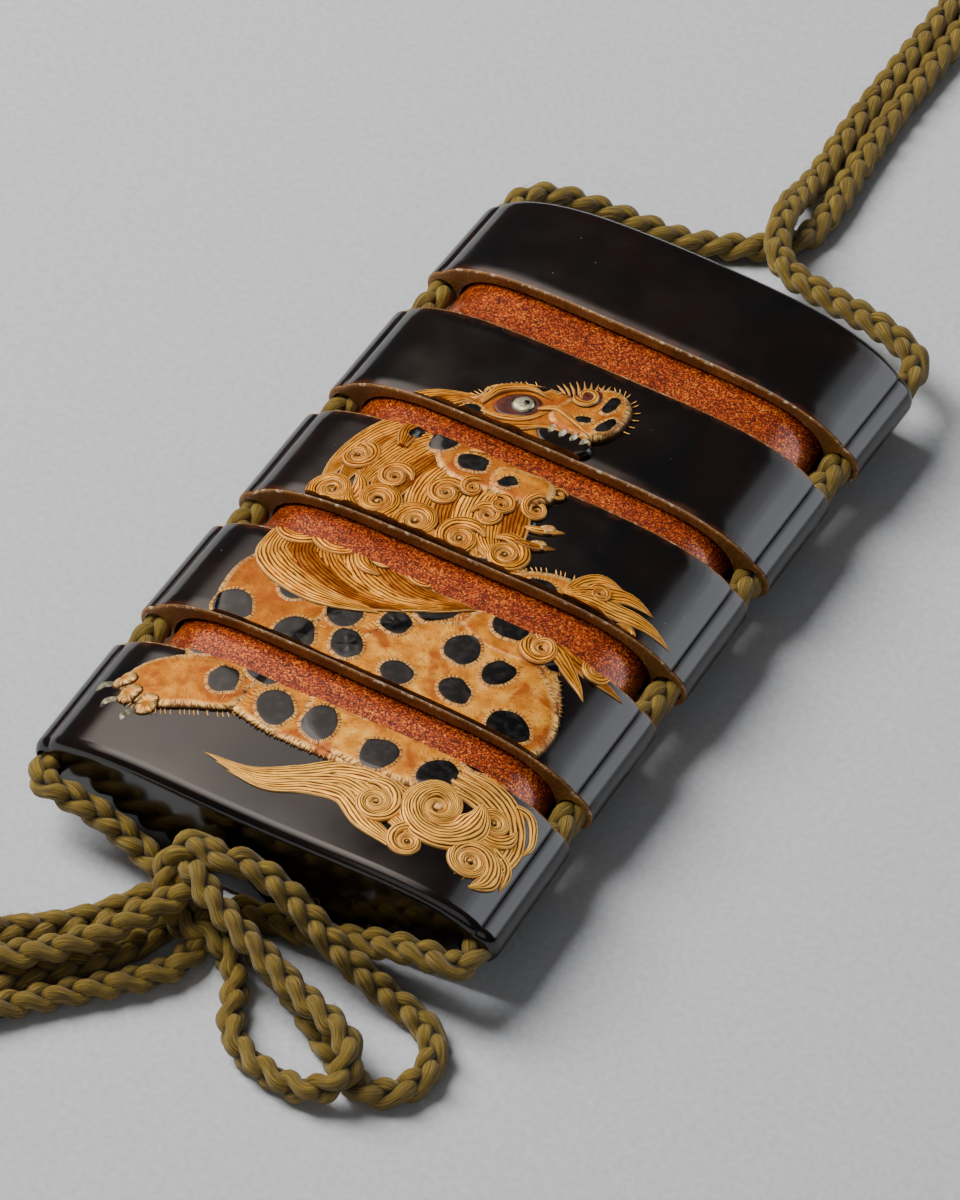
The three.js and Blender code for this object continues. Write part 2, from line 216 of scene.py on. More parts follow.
def gold_powder(tree, stops, cloud_mm):
    """The gold's colour: clouds of thicker and thinner powder, with the powder's fine grain, shifted by each
    piece's tone, which on the tail is set high as a painted sheen.
    """
    place_on = add(tree, "TexCoord").outputs["Object"]
    # The tone lightens or darkens each patch and lock; on the tail it is set high, a painted sheen.
    tone = add(tree, "Attribute", attribute_name="tone").outputs["Fac"]
    cloud = add(tree, "TexNoise", place_on, Scale=grain(cloud_mm), Detail=5.0)
    powder = add(tree, "TexNoise", place_on, Scale=grain(0.12), Detail=2.0)
    thick = add(tree, "MixRGB", 0.35, cloud, powder)
    shifted = add(tree, "Math", thick, tone, operation="ADD")
    spread = add(tree, "MapRange", shifted, From_Min=0.6, From_Max=1.4)
    return add(tree, "ValToRGB", spread, stops=stops), powder


def gold_skin():
    """Takamakie, lacquer built up and sprinkled with gold powder: warm satin gold, orange where the red
    lacquer under it comes through, paler along its raised borders as a painted highlight, dark at its foot
    as a dark outline with painted shade, and lined with short dark hairs."""
    made, tree, shader = material("takamakie_skin", Roughness=0.42, Metallic=0.35, Specular_IOR_Level=0.2)
    gold, powder = gold_powder(tree, [(0.12, "#6c2f04"), (0.4, "#ad600c"), (0.62, "#d88c24"),
                                      (0.85, "#f8bc54")], 1.8)
    border = add(tree, "Attribute", attribute_name="border").outputs["Fac"]
    # Paler along the border: a painted highlight on the patch's rounded edge.
    lit = overlay(tree, gold, colour("#fbc877"), border, 0.3, 0.72, 0.85)
    place_on = add(tree, "TexCoord").outputs["Object"]
    rubbed = add(tree, "TexNoise", place_on, Scale=grain(3.2), Detail=4.0, Distortion=0.6)
    glowing = overlay(tree, lit, colour("#96400e"), rubbed, 0.52, 0.66, 0.85)
    strokes = add(tree, "UVMap", uv_map="UVMap")
    combed = add(tree, "Mapping", strokes, Scale=(5.5, 1.1, 1.0))
    hair = add(tree, "TexNoise", combed, Scale=1.0, Detail=2.0)
    near = add(tree, "MapRange", border, From_Min=0.2, From_Max=0.9, To_Min=0.62, To_Max=0.43)
    line = add(tree, "Math", hair, near, operation="SUBTRACT")
    haired = overlay(tree, glowing, colour("#4a1f0a"), line, 0.0, 0.05, 0.8)
    # Dark at the very border: a dark outline with painted shade where the patch meets the ground.
    edged = overlay(tree, haired, colour("#3f2512"), border, 0.8, 0.96)
    bump = add(tree, "Bump", Height=powder, Distance=0.03 * MM, Strength=0.6)
    put(shader, Base_Color=edged, Normal=bump)
    return made


def gold_hair():
    """The mane and the tail: locks of built-up gold, each combed into strands by engraved lines through
    which the dark red-brown lacquer shows, paler along a lock's border as a painted highlight, and dark at
    its foot as a dark outline with painted shade."""
    made, tree, shader = material("takamakie_hair", Roughness=0.42, Metallic=0.42, Specular_IOR_Level=0.1)
    gold, powder = gold_powder(tree, [(0.12, "#8a480a"), (0.4, "#c67a1c"), (0.62, "#ec9b2c"),
                                      (0.88, "#ffbc50")], 1.6)
    strokes = add(tree, "UVMap", uv_map="UVMap")
    waver = add(tree, "Mapping", strokes, Scale=(0.35, 0.3, 1.0))
    drift = add(tree, "TexNoise", waver, Scale=1.0, Detail=1.0)
    swing = add(tree, "MapRange", drift, To_Min=-0.5, To_Max=0.5)
    lane = add(tree, "SeparateXYZ", strokes)
    moved = add(tree, "Math", lane, swing, operation="ADD")
    groove = add(tree, "Math", moved, 0.5, operation="PINGPONG")
    broken = add(tree, "Mapping", strokes, Scale=(1.3, 0.5, 1.0))
    gaps = add(tree, "TexNoise", broken, Scale=1.0, Detail=2.0)
    width = add(tree, "MapRange", gaps, From_Min=0.35, From_Max=0.65, To_Min=0.06, To_Max=0.28)
    line = add(tree, "Math", width, groove, operation="SUBTRACT")
    lined = overlay(tree, gold, colour("#4a1a06"), line, -0.14, 0.05, 0.95)
    border = add(tree, "Attribute", attribute_name="border").outputs["Fac"]
    # Paler along the border: a painted highlight on the lock's rounded edge.
    lit = overlay(tree, lined, colour("#ffcb7c"), border, 0.25, 0.65, 0.5)
    # Dark at the very border: a dark outline with painted shade at the lock's foot.
    edged = overlay(tree, lit, colour("#3d2a1a"), border, 0.78, 0.98, 0.95)
    bump = add(tree, "Bump", Height=powder, Distance=0.03 * MM, Strength=0.6)
    put(shader, Base_Color=edged, Normal=bump)
    return made


def spot_lacquer():
    """A spot of the coat: polished black lacquer let into the gold, with hairs drawn over its border."""
    made, tree, shader = material("black_spot")
    gold, _ = gold_powder(tree, [(0.1, "#8a4507"), (0.5, "#d28a2a"), (0.9, "#fbcb78")], 2.4)
    strokes = add(tree, "UVMap", uv_map="UVMap")
    inwards = add(tree, "SeparateXYZ", strokes).outputs["Y"]
    combed = add(tree, "Mapping", strokes, Scale=(4.5, 0.5, 1.0))
    hair = add(tree, "TexNoise", combed, Scale=1.0, Detail=1.0)
    ring = overlay(tree, gold, colour("#351706"), hair, 0.5, 0.56, 0.9)
    place_on = add(tree, "TexCoord").outputs["Object"]
    rub = add(tree, "TexNoise", place_on, Scale=grain(0.9), Detail=5.0)
    worn = add(tree, "ValToRGB", rub, stops=[(0.45, "#090808"), (0.72, "#292625")])
    black = add(tree, "MapRange", inwards, From_Min=0.36, From_Max=0.44)
    tone = add(tree, "MixRGB", black, ring, worn)
    gloss = add(tree, "MapRange", black, To_Min=0.42, To_Max=0.15)
    put(shader, Base_Color=tone, Roughness=gloss)
    return made


def silver_leaf():
    """The white of the eye and the teeth: silver leaf tarnished to a yellowish grey."""
    made, tree, shader = material("tarnished_silver", Roughness=0.3, Metallic=0.7)
    place_on = add(tree, "TexCoord").outputs["Object"]
    tarnish = add(tree, "TexNoise", place_on, Scale=grain(0.5), Detail=4.0)
    tone = add(tree, "ValToRGB", tarnish, stops=[(0.3, "#7c7560"), (0.55, "#c3bd9c"), (0.75, "#ece7cc")])
    put(shader, Base_Color=tone)
    return made


def red_lacquer():
    """Plain red-brown lacquer in the nostril, the ear and round the eye."""
    made, tree, shader = material("red_brown_lacquer", Roughness=0.28)
    place_on = add(tree, "TexCoord").outputs["Object"]
    rub = add(tree, "TexNoise", place_on, Scale=grain(0.9), Detail=4.0)
    tone = add(tree, "ValToRGB", rub, stops=[(0.3, "#2c100b"), (0.7, "#5c2418")])
    put(shader, Base_Color=tone)
    return made


def silk():
    """Braided silk dyed olive-gold: bundles of fine straight filaments with a soft lengthwise sheen,
    lighter where they stand out of the braid and darkened by painted shade to brown-black where they dive
    under, towards the cord's middle line."""
    filament_mm = 0.12
    made, tree, shader = material("braided_silk", Roughness=0.62, Specular_IOR_Level=0.35,
                                  Sheen_Weight=0.15, Sheen_Roughness=0.4)
    around = add(tree, "UVMap", uv_map="UVMap")
    crevice_shade = add(tree, "Attribute", attribute_name="crevice_shade").outputs["Fac"]
    run = add(tree, "Mapping", around, Scale=(1 / filament_mm, 0.4, 1.0))
    hair = add(tree, "TexNoise", run, Scale=1.0, Detail=4.0, Roughness=0.65)
    tone = add(tree, "ValToRGB", hair, stops=[(0.28, "#2e2308"), (0.42, "#5a4612"), (0.56, "#836a20"),
                                              (0.72, "#b29743")])
    # Painted shade: brown-black near the cord's middle line, where the strands dive under one another.
    shaded_crevices = overlay(tree, tone, colour("#120c02"), crevice_shade, 0.16, 0.4, 0.96)
    bump = add(tree, "Bump", Height=hair, Distance=0.25 * MM, Strength=0.9)
    put(shader, Base_Color=shaded_crevices, Normal=bump)
    return made


def paper():
    """Pale grey background paper, matt with a fine tooth."""
    made, tree, shader = material("pale_grey_paper", Roughness=0.95)
    place_on = add(tree, "TexCoord").outputs["Object"]
    tooth = add(tree, "TexNoise", place_on, Scale=grain(0.8), Detail=5.0)
    tone = add(tree, "ValToRGB", tooth, stops=[(0.3, "#bbbcbe"), (0.7, "#c9cacc")])
    bump = add(tree, "Bump", Height=tooth, Distance=0.1 * MM, Strength=0.4)
    put(shader, Base_Color=tone, Normal=bump)
    return made


BLACK_LACQUER, RIM_LACQUER, NASHIJI = range(3)
case_finishes = [black_lacquer(), rim_lacquer(), nashiji()]
GOLD_SKIN, GOLD_HAIR, SPOT, SILVER, RED_LACQUER, INK, CUT = range(7)
relief_finishes = [gold_skin(), gold_hair(), spot_lacquer(), silver_leaf(), red_lacquer(),
                   case_finishes[BLACK_LACQUER], case_finishes[RIM_LACQUER]]
silk_finish = silk()

# ---- pieces

SHARP = math.radians(38)


def new_object(name, data):
    """A new object in the scene."""
    made = bpy.data.objects.new(name, data)
    bpy.context.scene.collection.objects.link(made)
    return made


def finish_piece(bm, name, finishes, replaced=()):
    """Turns a bmesh in millimetres into a piece of the object, standing for the CAD nodes it replaces."""
    bmesh.ops.scale(bm, vec=(MM, MM, MM), verts=bm.verts)
    for edge in bm.edges:
        edge.smooth = len(edge.link_faces) == 2 and edge.calc_face_angle(0) < SHARP
    for face in bm.faces:
        face.smooth = True
    mesh = bpy.data.meshes.new(name)
    bm.to_mesh(mesh)
    bm.free()
    for finish in finishes:
        mesh.materials.append(finish)
    piece = new_object(name, mesh)
    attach(piece, "root")
    if replaced:
        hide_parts(*replaced)
    return piece


# ---- smooth curves

CURVE_STEPS = 12  # straight pieces between two points, before they are spaced evenly
TINY = 1e-9


def smooth_path(points, step, closed=False):
    """Evenly spaced points on the smooth curve through `points` (Catmull-Rom, square-root knots)."""
    if closed:
        ends = [points[-1]] + points + points[:2]
    else:
        ends = [2 * points[0] - points[1]] + points + [2 * points[-1] - points[-2]]
    fine = []
    for a, b, c, d in zip(ends, ends[1:], ends[2:], ends[3:]):
        knots = [0.0]
        for p, q in ((a, b), (b, c), (c, d)):
            knots.append(knots[-1] + max((q - p).length, TINY) ** 0.5)
        k0, k1, k2, k3 = knots
        for i in range(CURVE_STEPS):
            t = k1 + (k2 - k1) * i / CURVE_STEPS
            first = [p.lerp(q, (t - u) / (v - u)) for p, q, u, v in
                     ((a, b, k0, k1), (b, c, k1, k2), (c, d, k2, k3))]
            second = [p.lerp(q, (t - u) / (v - u)) for p, q, u, v in
                      ((first[0], first[1], k0, k2), (first[1], first[2], k1, k3))]
            fine.append(second[0].lerp(second[1], (t - k1) / (k2 - k1)))
    fine.append(ends[-2])
    return resample(fine, step)


def resample(points, step):
    """Points about one step apart along a line of straight pieces, its two ends among them."""
    lengths = [0.0]
    for p, q in zip(points, points[1:]):
        lengths.append(lengths[-1] + (q - p).length)
    count = max(2, round(lengths[-1] / step))
    even, i = [], 0
    for k in range(count + 1):
        wanted = lengths[-1] * k / count
        while i < len(points) - 2 and lengths[i + 1] < wanted:
            i += 1
        share = (wanted - lengths[i]) / max(lengths[i + 1] - lengths[i], TINY)
        even.append(points[i].lerp(points[i + 1], min(share, 1.0)))
    return even


# ---- outlines in X and Z

def lens_height(x):
    """How far the front stands out of the case's middle plane: full across, and steep at the beads."""
    out = min(abs(x) / VALLEY_X, 1.0)
    return VALLEY_HEIGHT + (FACE_HEIGHT - VALLEY_HEIGHT) * (1 - out ** LENS_POWER) ** LENS_FALL


def case_outline(face_steps=72, bead_steps=18):
    """A section's outline, anticlockwise: a round bead at each side, and the lens of the front and back."""
    bead_from = math.atan2(VALLEY_HEIGHT, VALLEY_X - BEAD_X)
    half = []
    for step in range(bead_steps + 1):
        angle = -bead_from + 2 * bead_from * step / bead_steps
        half.append(Vector((BEAD_X + BEAD_RADIUS * math.cos(angle), BEAD_RADIUS * math.sin(angle))))
    for step in range(1, face_steps):
        x = VALLEY_X * math.cos(math.pi * step / face_steps)
        half.append(Vector((x, lens_height(x))))
    return half + [-point for point in half]


def riser_outline(grow_width, grow_depth, count):
    """The squarish oval of a riser, grown by these amounts, with as many points as the case's outline."""
    a, b = RISER_HALF_WIDTH + grow_width, RISER_HALF_DEPTH + grow_depth
    steps = count // 2
    half = []
    for step in range(steps):
        x = a * math.cos(math.pi * step / steps)
        half.append(Vector((x, b * math.sqrt(1 - abs(x / a) ** RISER_SQUARENESS))))
    return half + [-point for point in half]


def inset(outline, distance):
    """The outline moved inwards along its own normals."""
    drawn = []
    for i, point in enumerate(outline):
        along = (outline[(i + 1) % len(outline)] - outline[i - 1]).normalized()
        drawn.append(Vector((point.x - along.y * distance, point.y + along.x * distance)))
    return drawn


# ---- the sections

class Loft:
    """Rings of one wall, each bridged to the one before. `edge` is 1 at an arris and 0 away from it."""

    def __init__(self):
        self.bm = bmesh.new()
        self.edge = self.bm.verts.layers.float.new("edge")
        self.last = None

    def ring(self, outline, height, edge=0.0, finish=BLACK_LACQUER):
        """Joins the last ring to one at this height along the case, or at a height that varies with x."""
        verts = [self.bm.verts.new((p.x, height(p.x) if callable(height) else height, p.y)) for p in outline]
        for vert in verts:
            vert[self.edge] = edge
        loop = [self.bm.edges.new((verts[i - 1], verts[i])) for i in range(len(verts))]
        if self.last:
            made = bmesh.ops.bridge_loops(self.bm, edges=self.last + loop)
            for face in made["faces"]:
                face.material_index = finish
        self.last = loop

    def cap(self, finish):
        """Closes the last ring with one flat face."""
        made = bmesh.ops.contextual_create(self.bm, geom=self.last)
        for face in made["faces"]:
            face.material_index = finish


def end_dome(x):
    """How far the closed end of a section bulges out, most in the middle."""
    return END_DOME * (1 - (x / HALF_WIDTH) ** 2)


def rounding(steps=4):
    """The angles of a quarter round."""
    return [math.pi / 2 * step / steps for step in range(steps + 1)]


WEAR_WIDTH = 1.6  # how far brown wear reaches from a rim into the black
RIM_BAND = 0.3  # the part of the rim's flat that chips
DOME_STEPS = 6
MERGE = 0.001
SOCKET_LIP = 0.08
SEAT_ROUND = 0.1  # where a riser stands on its rim
RISER_ROUND = 0.2  # at a riser's top edges


def domed_end(loft, outline, y, way, opening):
    """The rounded, domed end of the lid or the bottom case, drawn from its middle line or towards it."""
    rings = []
    for angle in rounding(DOME_STEPS):
        drawn = inset(outline, END_ROUND * (1 - math.cos(angle)))
        rings.append((drawn, lambda x, a=angle: y + way * (END_ROUND * math.sin(a) + end_dome(x))))
    for step in range(1, DOME_STEPS + 1):
        share = 1 - (step / DOME_STEPS) ** 2
        squeezed = [Vector((p.x, p.y * share)) for p in drawn]
        rings.append((squeezed, lambda x: y + way * (END_ROUND + end_dome(x))))
    for outline_at, height in (reversed(rings) if opening else rings):
        loft.ring(outline_at, height)


def plain_rim(loft, outline, y, way, opening):
    """A rim from its flat to the wall when it opens the loft, or from the wall to its flat."""
    rings = [(RIM_ROUND * (1 - math.cos(a)), y - way * RIM_ROUND * (1 - math.sin(a))) for a in rounding()]
    rings = [(RIM_ROUND + RIM_BAND, y)] + rings[::-1] if opening else rings + [(RIM_ROUND + RIM_BAND, y)]
    for drawn, height in rings:
        edge = 0.0 if drawn > RIM_ROUND else 1.0
        loft.ring(inset(outline, drawn), height, edge, RIM_LACQUER if drawn > TINY else BLACK_LACQUER)


def build_section(section):
    """One case or the lid: a closed shell from its socket, over its outside, to its compartment's floor."""
    name, height, *_ = section
    outline = case_outline()
    count = len(outline)
    loft = Loft()
    if name == "bottom_case":
        domed_end(loft, outline, 0, -1, opening=True)
    else:
        depth = LID_DEPTH if name == "lid" else SKIRT_DEPTH
        socket = riser_outline(SIDE_GAP, FIT_GAP, count)
        loft.ring(socket, depth)
        loft.cap(NASHIJI)
        loft.ring(socket, 2 * WEAR_WIDTH, finish=NASHIJI)
        loft.ring(socket, SEAT_ROUND, 1.0, NASHIJI)
        loft.ring(inset(socket, -SOCKET_LIP), 0.0, 1.0, RIM_LACQUER)
        plain_rim(loft, outline, 0, -1, opening=True)
        loft.ring(outline, RIM_ROUND + WEAR_WIDTH)
    if name == "lid":
        loft.ring(outline, height - RIM_ROUND)
        domed_end(loft, outline, height, 1, opening=False)
    else:
        loft.ring(outline, height - RIM_ROUND - WEAR_WIDTH)
        plain_rim(loft, outline, height, 1, opening=False)
        top = height + RISER_HEIGHT
        riser = riser_outline(0, 0, count)
        loft.ring(inset(riser, -SEAT_ROUND), height, finish=RIM_LACQUER)
        loft.ring(riser, height + SEAT_ROUND, finish=NASHIJI)
        loft.ring(riser, top - RISER_ROUND, finish=NASHIJI)
        loft.ring(inset(riser, RISER_ROUND), top, finish=RIM_LACQUER)
        inner = riser_outline(-RISER_WALL, -RISER_WALL, count)
        loft.ring(inset(inner, -RISER_ROUND), top, finish=RIM_LACQUER)
        loft.ring(inner, top - RISER_ROUND, finish=RIM_LACQUER)
        loft.ring(inner, FLOOR if name == "bottom_case" else SKIRT_DEPTH + FLOOR, finish=NASHIJI)
        loft.cap(NASHIJI)
    bm = loft.bm
    bmesh.ops.remove_doubles(bm, verts=bm.verts, dist=MERGE)
    face_outwards(bm)
    bore_channels(bm, height)
    bmesh.ops.transform(bm, matrix=place(section), verts=bm.verts)
    flatten_back(bm)
    finish_piece(bm, name + "_lacquered", case_finishes, [name])


def face_outwards(bm):
    """Makes a closed shell's faces agree, with the solid behind them."""
    bmesh.ops.recalc_face_normals(bm, faces=bm.faces)
    if bm.calc_volume(signed=True) < 0:
        bmesh.ops.reverse_faces(bm, faces=bm.faces)


def flatten_back(bm):
    """The crown of the back is worn flat where it lies."""
    for vert in bm.verts:
        vert.co.z = max(vert.co.z, 0.0)


def evaluated_mesh(shape):
    """A shape's mesh as its modifiers or its curve make it."""
    graph = bpy.context.evaluated_depsgraph_get()
    return bpy.data.meshes.new_from_object(shape.evaluated_get(graph))


def bore_channels(bm, height):
    """Cuts the cord channels through both beads."""
    cutter = bmesh.new()
    length = height + 4 * END_DOME
    for side in (-1, 1):
        turn = Matrix.Rotation(math.pi / 2, 4, "X")
        move = Matrix.Translation((side * CHANNEL_X, height / 2, 0))
        bmesh.ops.create_cone(cutter, cap_ends=True, segments=40, radius1=CHANNEL_RADIUS,
                              radius2=CHANNEL_RADIUS, depth=length, matrix=move @ turn)
    blocks = []
    for source, label in ((bm, "uncut"), (cutter, "cutter")):
        mesh = bpy.data.meshes.new(label)
        source.to_mesh(mesh)
        blocks.append(new_object(label, mesh))
    cutter.free()
    cut = blocks[0].modifiers.new("channels", "BOOLEAN")
    cut.object = blocks[1]
    cut.operation = "DIFFERENCE"
    cut.solver = "MANIFOLD"
    bm.clear()
    bm.from_mesh(evaluated_mesh(blocks[0]))
    for block in blocks:
        bpy.data.objects.remove(block)


for section in SECTIONS:
    build_section(section)

# ---- the raised lion-dog
# It is built closed up, with the sections touching: x across, y from the bottom case's lower rim, and
# z proud of the face, and is then cut at the seams and laid on the sections.

UNDER = -0.3  # how deep the figure's foot is let into the black
ABOVE = 9  # clear of all that is built up
LOCK_STEP = 0.35
PATCH_STEP = 0.5
RINGS = (1.0, 0.985, 0.96, 0.92, 0.86, 0.78, 0.66, 0.5, 0.3, 0.0)
STRAND_RIDGE = 0.05
STRAND_WIDTH = 0.42
BORDER = 1.6  # width of the pale border of a patch
LOCK_BORDER = 0.35
LOCK_SWELL = 0.35  # the share of a lock over which it widens from its root
LOCK_FULL = 0.6  # half the width from which a lock stands at its full height
LOCK_LEVEL = 4  # points each way over which the ground under a lock is evened out
HAIR_TONE = 0.48
HAIR_TONE_SPREAD = 0.24
CURL_POINTS = 14  # in each turn
CURL_OVERLAP = 1.08
SPOT_TRIES = 6
SPOT_LEVEL = 0.22  # how uneven the skin under a spot may be


class Figure:
    """The figure as closed shells, one for each patch and lock."""

    def __init__(self):
        self.bm = bmesh.new()
        self.strokes = self.bm.loops.layers.uv.new("UVMap")
        self.border = self.bm.verts.layers.float.new("border")
        self.tone = self.bm.verts.layers.float.new("tone")
        self.built = None
        self.finishes = []
        self.chance = random.Random(SEED)

    def settle(self):
        """What follows lies on what has been built up to here."""
        self.built = BVHTree.FromBMesh(self.bm)
        self.finishes = [face.material_index for face in self.bm.faces]

    def ground(self, x, y):
        """The height already reached at a place, and the finish there."""
        where, _, face, _ = self.built.ray_cast(Vector((x, y, ABOVE)), Vector((0, 0, -1)))
        if where is None or where.z < 0:
            return 0.0, None
        return where.z, self.finishes[face]

    def sheet(self, rows, finish, tone):
        """A closed shell under rows of points. Each point is its place, stroke coordinates and border."""
        bm = self.bm
        across, along = len(rows[0]) - 1, len(rows) - 1
        verts = bmesh.ops.create_grid(bm, x_segments=across, y_segments=along, size=0.5)["verts"]
        faces = dict.fromkeys(face for vert in verts for face in vert.link_faces)
        cells = {vert: rows[round((vert.co.y + 0.5) * along)][round((vert.co.x + 0.5) * across)]
                 for vert in verts}
        for face in faces:
            face.material_index = finish
            for loop in face.loops:
                loop[self.strokes].uv = cells[loop.vert][1]
        for vert, (point, _, border) in cells.items():
            vert.co = point
            vert[self.border] = border
            vert[self.tone] = tone
        bmesh.ops.remove_doubles(bm, verts=verts, dist=MERGE / 2)
        top = [face for face in faces if face.is_valid]
        for part in bmesh.ops.extrude_face_region(bm, geom=top, use_keep_orig=True)["geom"]:
            if isinstance(part, bmesh.types.BMVert):
                part.co.z = UNDER
                for face in part.link_faces:
                    face.material_index = finish

    def patch(self, outline, height, finish=GOLD_SKIN, roll=1.2, tone=0.5, laid=False):
        """A domed patch inside a smooth closed outline. A laid one follows the ground under it."""
        edge = smooth_path([Vector((x, y, 0)) for x, y in outline], PATCH_STEP, closed=True)
        centre = sum(edge[1:], Vector()) / (len(edge) - 1)
        rows = []
        for share in RINGS:
            row = []
            for i, point in enumerate(edge):
                place_at = centre.lerp(point, share)
                inside = (point - place_at).length
                dome = math.sqrt(1 - (1 - min(inside / roll, 1)) ** 2)
                base = self.ground(place_at.x, place_at.y)[0] if laid else 0.0
                place_at.z = base + height * dome
                row.append((place_at, (i * PATCH_STEP, inside), max(0.0, 1 - inside / BORDER)))
            rows.append(row)
        self.sheet(rows, finish, tone)
        return edge

    def disc(self, x, y, radius, height, finish, stretch=1.0, turn=0.0, uneven=0.0, roll=0.5, tone=0.5):
        """A small round or oval patch laid on the ground."""
        outline = []
        for step in range(12):
            angle = 2 * math.pi * step / 12
            out = radius * (1 + uneven * self.chance.uniform(-1, 1))
            along, over = out * stretch * math.cos(angle), out * math.sin(angle)
            outline.append((x + along * math.cos(turn) - over * math.sin(turn),
                            y + along * math.sin(turn) + over * math.cos(turn)))
        self.patch(outline, height, finish, roll, tone, laid=True)

    def lock(self, course, width, height=0.32, strands=None, root=0.5, finish=GOLD_HAIR, tone=None):
        """A lock of hair: a rounded strip along a course, grooved into strands that meet at its tip. The
        width is one value or a function of the share along it."""
        widest = max(width(k / 20) for k in range(21)) if callable(width) else width
        strands = strands or max(2, round(widest / STRAND_WIDTH))
        path = smooth_path([Vector((x, y, 0)) for x, y in course], LOCK_STEP)
        last = len(path) - 1
        bases = [self.ground(p.x, p.y)[0] for p in path]
        if tone is None:
            tone = HAIR_TONE + HAIR_TONE_SPREAD * self.chance.uniform(-1, 1)
        rows = []
        for i, point in enumerate(path):
            share = i / last
            near = bases[max(i - LOCK_LEVEL, 0):i + LOCK_LEVEL + 1]
            base = sum(near) / len(near)
            along = (path[min(i + 1, last)] - path[max(i - 1, 0)]).normalized()
            side = Vector((along.y, -along.x, 0))
            if callable(width):
                half = width(share) / 2
            else:
                swell = root + (1 - root) * math.sin(math.pi / 2 * min(share / LOCK_SWELL, 1))
                half = width / 2 * swell * (1 - max(0.0, (share - LOCK_SWELL) / (1 - LOCK_SWELL)) ** 2)
            thick = height * min(1.0, max(half, 0.0) / LOCK_FULL) ** 0.5
            row = []
            for k in range(2 * strands + 1):
                out = k / strands - 1
                ridge = STRAND_RIDGE * (k % 2) * min(1.0, half)
                rise = thick * math.sqrt(max(0.0, 1 - out * out)) + ridge
                place_at = point + side * (out * half)
                place_at.z = base + rise
                rim = max(0.0, 1 - half * (1 - abs(out)) / min(LOCK_BORDER, max(half, 0.05)))
                row.append((place_at, (k / 2, i * LOCK_STEP), rim))
            rows.append(row)
        self.sheet(rows, finish, tone)

    def fan(self, first, last, count, spread=1.15, **settings):
        """Locks laid side by side between two guide courses."""
        widest = max(math.dist(a, b) for a, b in zip(first, last))
        for k in range(count):
            share = (k + 0.5) / count
            course = [(a[0] + (b[0] - a[0]) * share, a[1] + (b[1] - a[1]) * share)
                      for a, b in zip(first, last)]
            self.lock(course, spread * widest / count, **settings)

    def curl(self, x, y, radius, turns=3.2, start=0.0, way=1, height=0.4, tone=0.55, tighten=0.11):
        """A lock rolled up into a snail round a small button, narrowing towards its middle."""
        self.disc(x, y, 0.1 * radius, 0.8 * height, GOLD_HAIR, roll=0.3, tone=tone)
        course = []
        steps = round(turns * CURL_POINTS)
        fill = 1 - math.exp(-2 * math.pi * tighten)
        shrunk = 1 - math.exp(-2 * math.pi * tighten * turns)
        for step in range(steps + 1):
            angle = 2 * math.pi * turns * step / steps
            out = radius * (1 - fill / 2) * math.exp(-tighten * angle)
            course.append((x + out * math.cos(start + way * angle), y + out * math.sin(start + way * angle)))
        widest = radius * fill * CURL_OVERLAP

        def width(share):
            """It starts narrow, shrinks with the turns and closes at the middle."""
            return widest * (1 - shrunk * share) * min(1.0, 0.15 + share * 9) * min(1.0, (1 - share) * 12)

        self.lock(course, width, height, tone=tone)

    def curls(self, *rows, **settings):
        """Curls from rows of x, y, radius, start and way. What follows lies on them."""
        for x, y, radius, start, way in rows:
            self.curl(x, y, radius, start=start, way=way, **settings)
        self.settle()

    def fringe(self, edge, first, last, length, spacing=0.55):
        """Short hairs standing out over part of a patch's border."""
        count = len(edge) - 1
        run = first
        while run < last:
            i = round(run * count) % count
            along = (edge[(i + 1) % count] - edge[i - 1]).normalized()
            out = Vector((along.y, -along.x, 0))
            lean = along * self.chance.uniform(0.6, 1.9)
            root = edge[i] - out * 0.8
            tip = edge[i] + (out + lean) * length * self.chance.uniform(0.3, 1.0)
            middle = root.lerp(tip, 0.5) + along * 0.08
            self.lock([root[:2], middle[:2], tip[:2]], 0.13, 0.07, strands=1, tone=0.7)
            run += spacing * self.chance.uniform(0.5, 1.5) / (count * PATCH_STEP)


def spot_coat(figure, rows, step):
    """Spots in staggered rows wherever a whole spot finds plain skin under it."""
    chance = figure.chance
    cells = [(row, column) for row in range(len(rows)) for column in range(-4, 5)]
    for row, column in cells:
        for _ in range(SPOT_TRIES):
            x = step * (column + 0.5 * (row % 2)) + chance.uniform(-1.1, 1.1)
            y = rows[row] + chance.uniform(-1, 1)
            radius = chance.uniform(1.5, 2.15)
            rim = [figure.ground(x + radius * math.cos(a), y + radius * math.sin(a)) for a in range(6)]
            heights = [height for height, _ in rim]
            if all(finish == GOLD_SKIN for _, finish in rim) and max(heights) - min(heights) < SPOT_LEVEL:
                figure.disc(x, y, radius + 0.45, 0.06, SPOT, stretch=chance.uniform(1.0, 1.25),
                            turn=chance.uniform(0, math.pi), uneven=0.07)
                break


